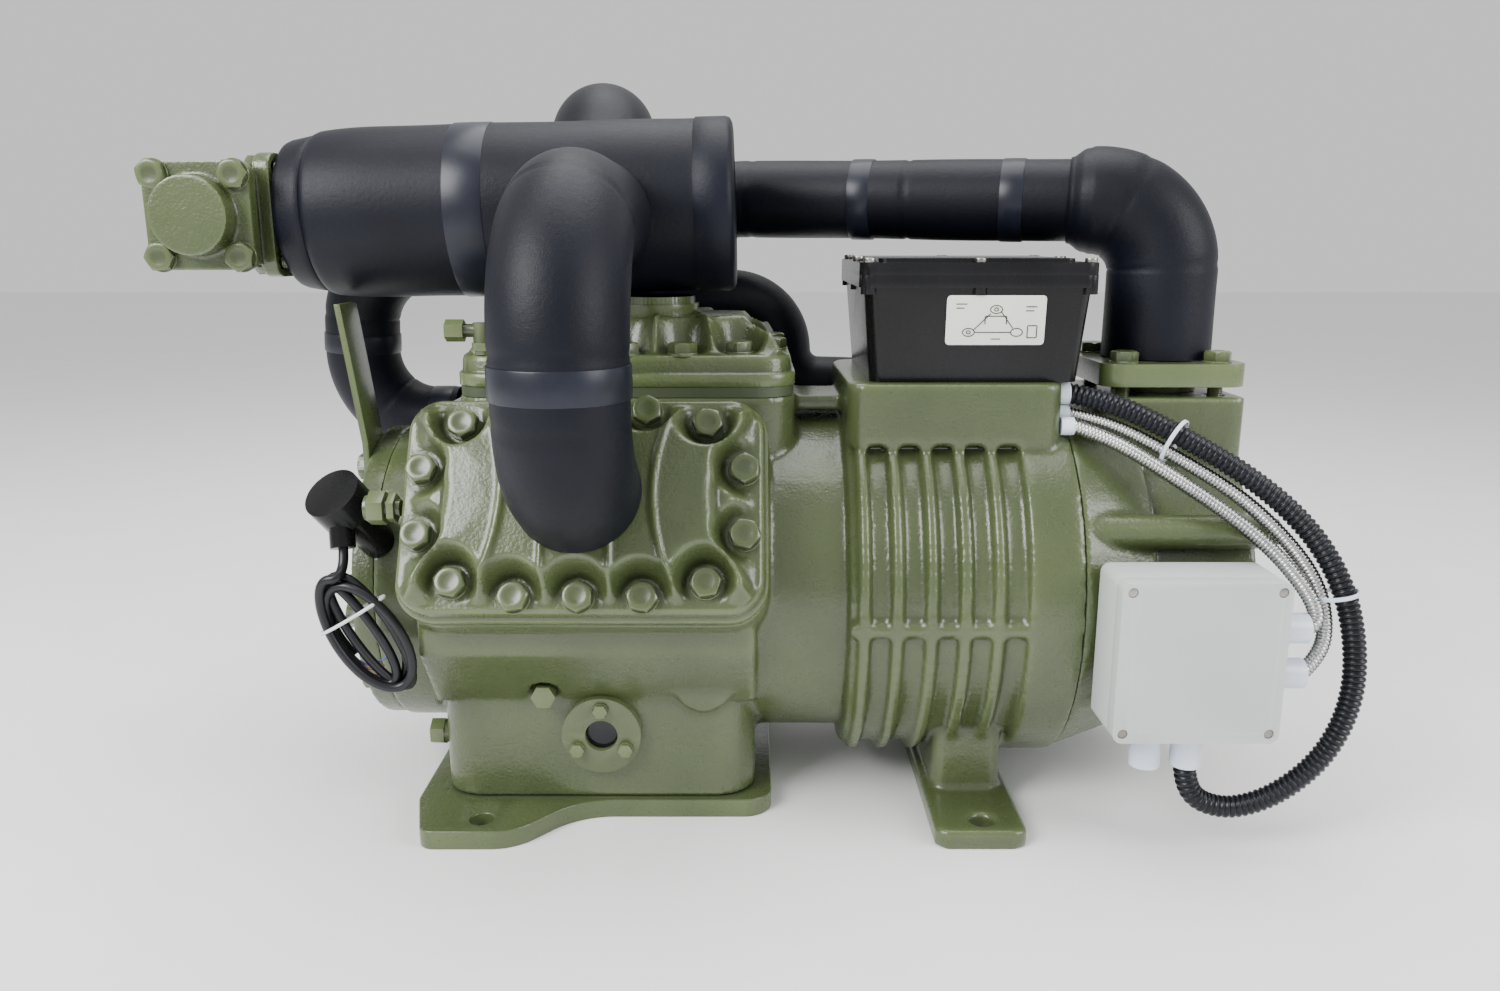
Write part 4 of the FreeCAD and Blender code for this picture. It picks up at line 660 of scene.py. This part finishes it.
black_moulding = finish("box_moulding", (0.003, 0.003, 0.0035), (0.006, 0.006, 0.007), (0.18, 0.34),
                        grain=1100, bump=0.00005, relief=0.8, Specular_IOR_Level=0.25)
grey_moulding = finish("grey_moulding", (0.44, 0.475, 0.46), (0.48, 0.515, 0.50), (0.32, 0.44), grain=1500,
                       bump=0.00005, relief=0.15)
white_moulding = finish("gland_moulding", (0.60, 0.66, 0.76), (0.70, 0.75, 0.84), (0.24, 0.34), grain=900,
                        bump=0.00002, relief=0.2)
screw_steel = finish("screw_steel", (0.22, 0.21, 0.19), (0.36, 0.35, 0.32), (0.22, 0.36), grain=1400,
                     bump=0.00003, relief=0.5, Metallic=1.0)
edged("terminal_tub", ["terminal_box"], 1.4, black_moulding, "terminal_plastic")
edged("terminal_cover", ["terminal_lid"], 1.8, black_moulding, "terminal_plastic", steps=4)
edged("junction_tub", ["junction_box"], 1.2, grey_moulding, "grey_plastic")
edged("junction_cover", ["junction_lid"], 2.4, grey_moulding, "grey_plastic", steps=4)
edged("gland_set", ["glands"], 0.9, white_moulding, "gland_plastic")
edged("switch_body", ["level_switch"], 1.6, black_moulding, "switch_plastic")
edged("screw_set", ["box_screws"], 0.5, screw_steel, "bright_screw")
edged("tie_set", ["cable_ties"], 0.3, white_moulding, "tie_plastic")
edged("label_plate", ["terminal_label"], 0.15, finish("label_film", (0.72, 0.74, 0.66), (0.78, 0.80, 0.72),
      (0.35, 0.45), relief=0, bump=0.00001), "label")
edged("sight_lens", ["sight_glass"], 0.8, finish("lens_glass", (0.002, 0.003, 0.004), (0.004, 0.005, 0.008),
      (0.06, 0.12), relief=0, bump=0, Specular_IOR_Level=0.4), "glass")

# The label's print: a generic terminal scheme of three posts, links between them and a border.


def label_point(across, up):
    """A point on the label's face: it leans out with the box wall by 1 in 12."""
    return np.array([197 + across, -88.25 - up / 12, 387 + up])


def inked(strokes, width=0.35):
    """Fine lines of print along strokes of (across, up) points, as half-sunk threads."""
    return merged([sleeve_skin(evenly(np.array([label_point(*spot) for spot in stroke]) * MM, 0.8 * MM),
                               lambda along, turn: width * MM + 0 * along * turn, (0, 1, 0), 8)
                   for stroke in strokes])


def loop(across, up, half_wide, half_high, count=17):
    """Points of a closed ellipse."""
    turn = np.linspace(0, 2 * np.pi, count)
    return [(across + half_wide * math.cos(t), up + half_high * math.sin(t)) for t in turn]


SCHEME = [loop(-20, -9, 4.5, 3), loop(0, 8, 4.5, 3), loop(16, -9, 4.5, 3), loop(-20, -9, 1.5, 1.2),
          loop(0, 8, 1.5, 1.2), [(-16, -7), (-4, 5)], [(4, 6), (13, -6)], [(-15, -9), (11, -9)],
          [(-8, -3), (-8, 3), (8, 3), (8, -3)],
          [(22, 10), (30, 10)], [(22, 7), (28, 7)], [(24, -13), (31, -13), (31, -4), (24, -4), (24, -13)],
          [(-30, 12), (-22, 12)], [(-30, 9), (-24, 9)], [(-3, -14), (4, -14)]]
mount("label_print", mesh_of("label_print", inked(SCHEME)), black_moulding, "label")

# ------------------------------------------------------------------------------------------------
# Insulation: split black elastomer foam pushed over the pipes, glued along its seams and taped.

foam = finish("foam_skin", (0.0016, 0.0020, 0.0052), (0.0036, 0.0043, 0.0098), (0.40, 0.54), grain=1300,
              blotch=14, bump=0.00030, relief=0.5, Specular_IOR_Level=0.22)
band_look = finish("tape_skin", (0.005, 0.006, 0.012), (0.010, 0.012, 0.022), (0.30, 0.42), grain=500,
                   blotch=30, bump=0.00006, relief=0.4, Specular_IOR_Level=0.34)


def bent_line(route, radii, step=3.0):
    """A pipe's centre line in millimetres: straight runs joined by arcs that touch both, sampled evenly.
    Each arc's points are the corner's arc centre plus its radius turned from the first run to the next."""
    route = np.array(route, float)
    pieces = [route[:1]]
    for before, corner, after, radius in zip(route, route[1:], route[2:], radii):
        back = (before - corner) / np.linalg.norm(before - corner)
        ahead = (after - corner) / np.linalg.norm(after - corner)
        half = (math.pi - math.acos(float(back @ ahead))) / 2
        bisector = (back + ahead) / np.linalg.norm(back + ahead)
        centre = corner + bisector * radius / math.cos(half)
        start, end = (corner + leg * radius * math.tan(half) - centre for leg in (back, ahead))
        share = np.linspace(0, 1, 24)[:, None]
        swing = 2 * half
        arc = np.sin((1 - share) * swing) * start + np.sin(share * swing) * end
        pieces.append(centre + arc / math.sin(swing))
    pieces.append(route[-1:])
    return evenly(np.vstack(pieces), step)


def foam_radius(size, seed):
    """Radius with slow swellings along and round the sleeve, under half a millimetre."""
    def shape(along, turn):
        swell = np.sin(along / 23 + seed) * np.cos(2 * turn + seed)
        swell += 0.6 * np.sin(along / 41 + 2 * turn + 1.7 * seed)
        return size + 0.35 * swell
    return shape


DROP_RADIUS = 43


def sleeve(route, radii, size, across, seed, joints=()):
    """A foam sleeve on a bent pipe, with a shallow crease at each glued joint along it.  The thick sleeve
    of the drop tapers in over the first centimetre."""
    line = bent_line(route, radii)
    body = foam_radius(size, seed)

    def shape(along, turn):
        crease = sum(np.exp(-((along - joint) / 1.6) ** 2) for joint in joints)
        start = 8.5 * np.exp(-(along / 9.0) ** 2) if size == DROP_RADIUS else 0
        return body(along, turn) - 1.1 * crease - start
    vertices, quads, fans = sleeve_skin(line, shape, across, 72)
    return vertices * MM, quads, fans


FRONT_ROUTE = [(-104, 0, 461), (-104, -240, 461), (-104, -240, 308.6), (-104, -189.4, 279.3)]
REAR_ROUTE = [(-108, 0, 470), (-112, 82, 540), (-126, 240, 504), (-126, 240, 308.6), (-126, 189.4, 279.3)]
MIXING_ROUTE = [(-257, 117, 278), (-349, 117, 278), (-340, 112, 434), (-84, 112, 434), (-18, 112, 481),
                (349, 0, 476), (349, 0, 352)]
BRANCH_ROUTE = [(-110, 112, 434), (-70, 118, 391), (42, 125, 391), (42, 125, 312), (150, 125, 308),
                (150, 125, 271)]
DROP_ROUTE = [(276, 22, 477), (349, 0, 476), (349, 0, 352)]
front = sleeve(FRONT_ROUTE, [82, 60], 44, (1, 0, 0), 0.4, (196, 288, 330))
mount("front_elbow_sleeve", mesh_of("front_elbow_sleeve", front), foam, "foam_sleeve", "front_elbow_foam",
      crease=80)
rear = sleeve(REAR_ROUTE, [70, 66, 60], 44, (1, 0, 0), 1.9, (150, 280, 400))
mount("rear_elbow_sleeve", mesh_of("rear_elbow_sleeve", rear), foam, "foam_sleeve", "rear_elbow_foam",
      crease=80)
drop = sleeve(DROP_ROUTE, [56], DROP_RADIUS, (0, 1, 0), 2.2, (14, 46, 104))
run = sleeve(MIXING_ROUTE, [66, 66, 80, 80, 56], 33, (0, 1, 0), 0.9, (70, 160, 300, 560, 700))
branch = sleeve(BRANCH_ROUTE, [30, 46, 36, 34], 28, (0, 1, 0), 1.1)
mount("mixing_sleeve", mesh_of("mixing_sleeve", merged([run, drop, branch])), foam, "foam_sleeve",
      "mixing_foam", crease=80)

# The header sleeve is one fat tube that tapers to a taped collar at the valve, with a taped end.

TILT = math.tan(math.radians(1.37))
HEADER_MIDDLE = (-325 + 2) / 2


def header_point(x):
    """A point of the header's axis, in millimetres."""
    return np.array([x, 0, 469.3 + (x - HEADER_MIDDLE) * TILT])


def lathed(profile, place, direction, columns=72):
    """A turned solid: (along, radius) pairs swept round an axis from a place along a direction."""
    along, reach = np.array(profile, float).T
    turn = np.linspace(0, 2 * np.pi, columns, endpoint=False)
    grid = np.stack([reach[:, None] * np.cos(turn), reach[:, None] * np.sin(turn),
                     along[:, None] * np.ones(columns)], -1)
    return aimed(grid_solid(grid), place, direction)


header_axis = header_point(0) - header_point(-100)
HEADER_LENGTH = 327.1
rings = np.arange(4, HEADER_LENGTH - 30, 4.0)
header_profile = [(-24, 47), (-24, 54), (-22.5, 56.5), (-19, 58), (-8, 60), (-2, 61.2), (-1, 60.4),
                  (0.2, 62.5)]
header_profile += [(spot, 67 - 3.6 * math.exp(-spot / 26) + 0.3 * math.sin(spot / 17)) for spot in rings]
header_profile += [(HEADER_LENGTH + short, radius) for short, radius in (
    (-30.5, 66.8), (-29.5, 67.9), (-6, 67.9), (-2.5, 66.6), (-0.6, 63), (0, 58), (0, 50), (-0.6, 48),
    (-0.6, 20))]
header_solid = lathed(header_profile, header_point(-325), header_axis, 96)
mount("header_sleeve", mesh_of("header_sleeve", header_solid), foam, "foam_sleeve", "header_foam",
      crease=60)

# Tape bands round the sleeves.


def band(first, last, size):
    """A thin band of tape round a straight stretch, its edges rounded down on to the foam."""
    start, end = np.array(first, float), np.array(last, float)
    width = np.linalg.norm(end - start)
    profile = [(0, size - 0.8), (0.3, size + 0.5), (1.2, size + 0.9), (width / 2, size + 1.0),
               (width - 1.2, size + 0.9), (width - 0.3, size + 0.5), (width, size - 0.8)]
    return lathed(profile, start, end - start)


def between(first, second, share):
    """The point at a share of the way between two."""
    return np.array(first) + (np.array(second) - np.array(first)) * share


bands = [band(header_point(-217), header_point(-187), 67), band((-104, -240, 371), (-104, -240, 349), 44),
         band((-126, 240, 380), (-126, 240, 358), 44), band((-282, 117, 278), (-262, 117, 278), 33)]
for low, high, first, second in ((0.33, 0.38, 4, 5), (0.66, 0.71, 4, 5), (0.43, 0.54, 1, 2)):
    bands.append(band(between(MIXING_ROUTE[first], MIXING_ROUTE[second], low),
                      between(MIXING_ROUTE[first], MIXING_ROUTE[second], high), 33))
mount("tape_band_set", mesh_of("tape_band_set", merged(bands)), band_look, "tape", "tape_bands", crease=50)

# ------------------------------------------------------------------------------------------------
# Working parts inside, and the plates and gaskets seen edge on: the frame's own pieces, finished.

INSIDE = {
    "ground_steel": (finish("ground_steel", (0.42, 0.42, 0.43), (0.55, 0.55, 0.56), (0.2, 0.35),
                            Metallic=1.0),
                     ["crankshaft", "valve_spindle"]),
    "light_alloy": (finish("light_alloy", (0.62, 0.62, 0.64), (0.74, 0.74, 0.76), (0.3, 0.45),
                            Metallic=1.0),
                    [kind % number for number in range(1, 7) for kind in ("con_rod_%d", "piston_%d")]),
    "motor_iron": (finish("motor_iron", (0.22, 0.22, 0.23), (0.30, 0.30, 0.31), (0.4, 0.55), Metallic=1.0),
                   ["rotor", "stator"]),
    "winding_wire": (finish("winding_wire", (0.36, 0.14, 0.05), (0.48, 0.20, 0.07), (0.3, 0.5),
                            Metallic=1.0),
                     ["windings"]),
    "bush_bronze": (finish("bush_bronze", (0.50, 0.34, 0.14), (0.60, 0.42, 0.18), (0.3, 0.45),
                            Metallic=1.0),
                    ["main_bearings"]),
    "pipe_paint": (smooth_paint, ["suction_header", "mixing_pipe"]),
    "plate_edge": (finish("plate_edge", (0.045, 0.060, 0.028), (0.062, 0.080, 0.038), (0.4, 0.6),
                          bump=0.0001),
                   ["valve_plates", "bottom_gasket"]),
}
for look, nodes in INSIDE.values():
    for node in nodes:
        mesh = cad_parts[node].data
        mesh.materials.clear()
        mesh.materials.append(look)
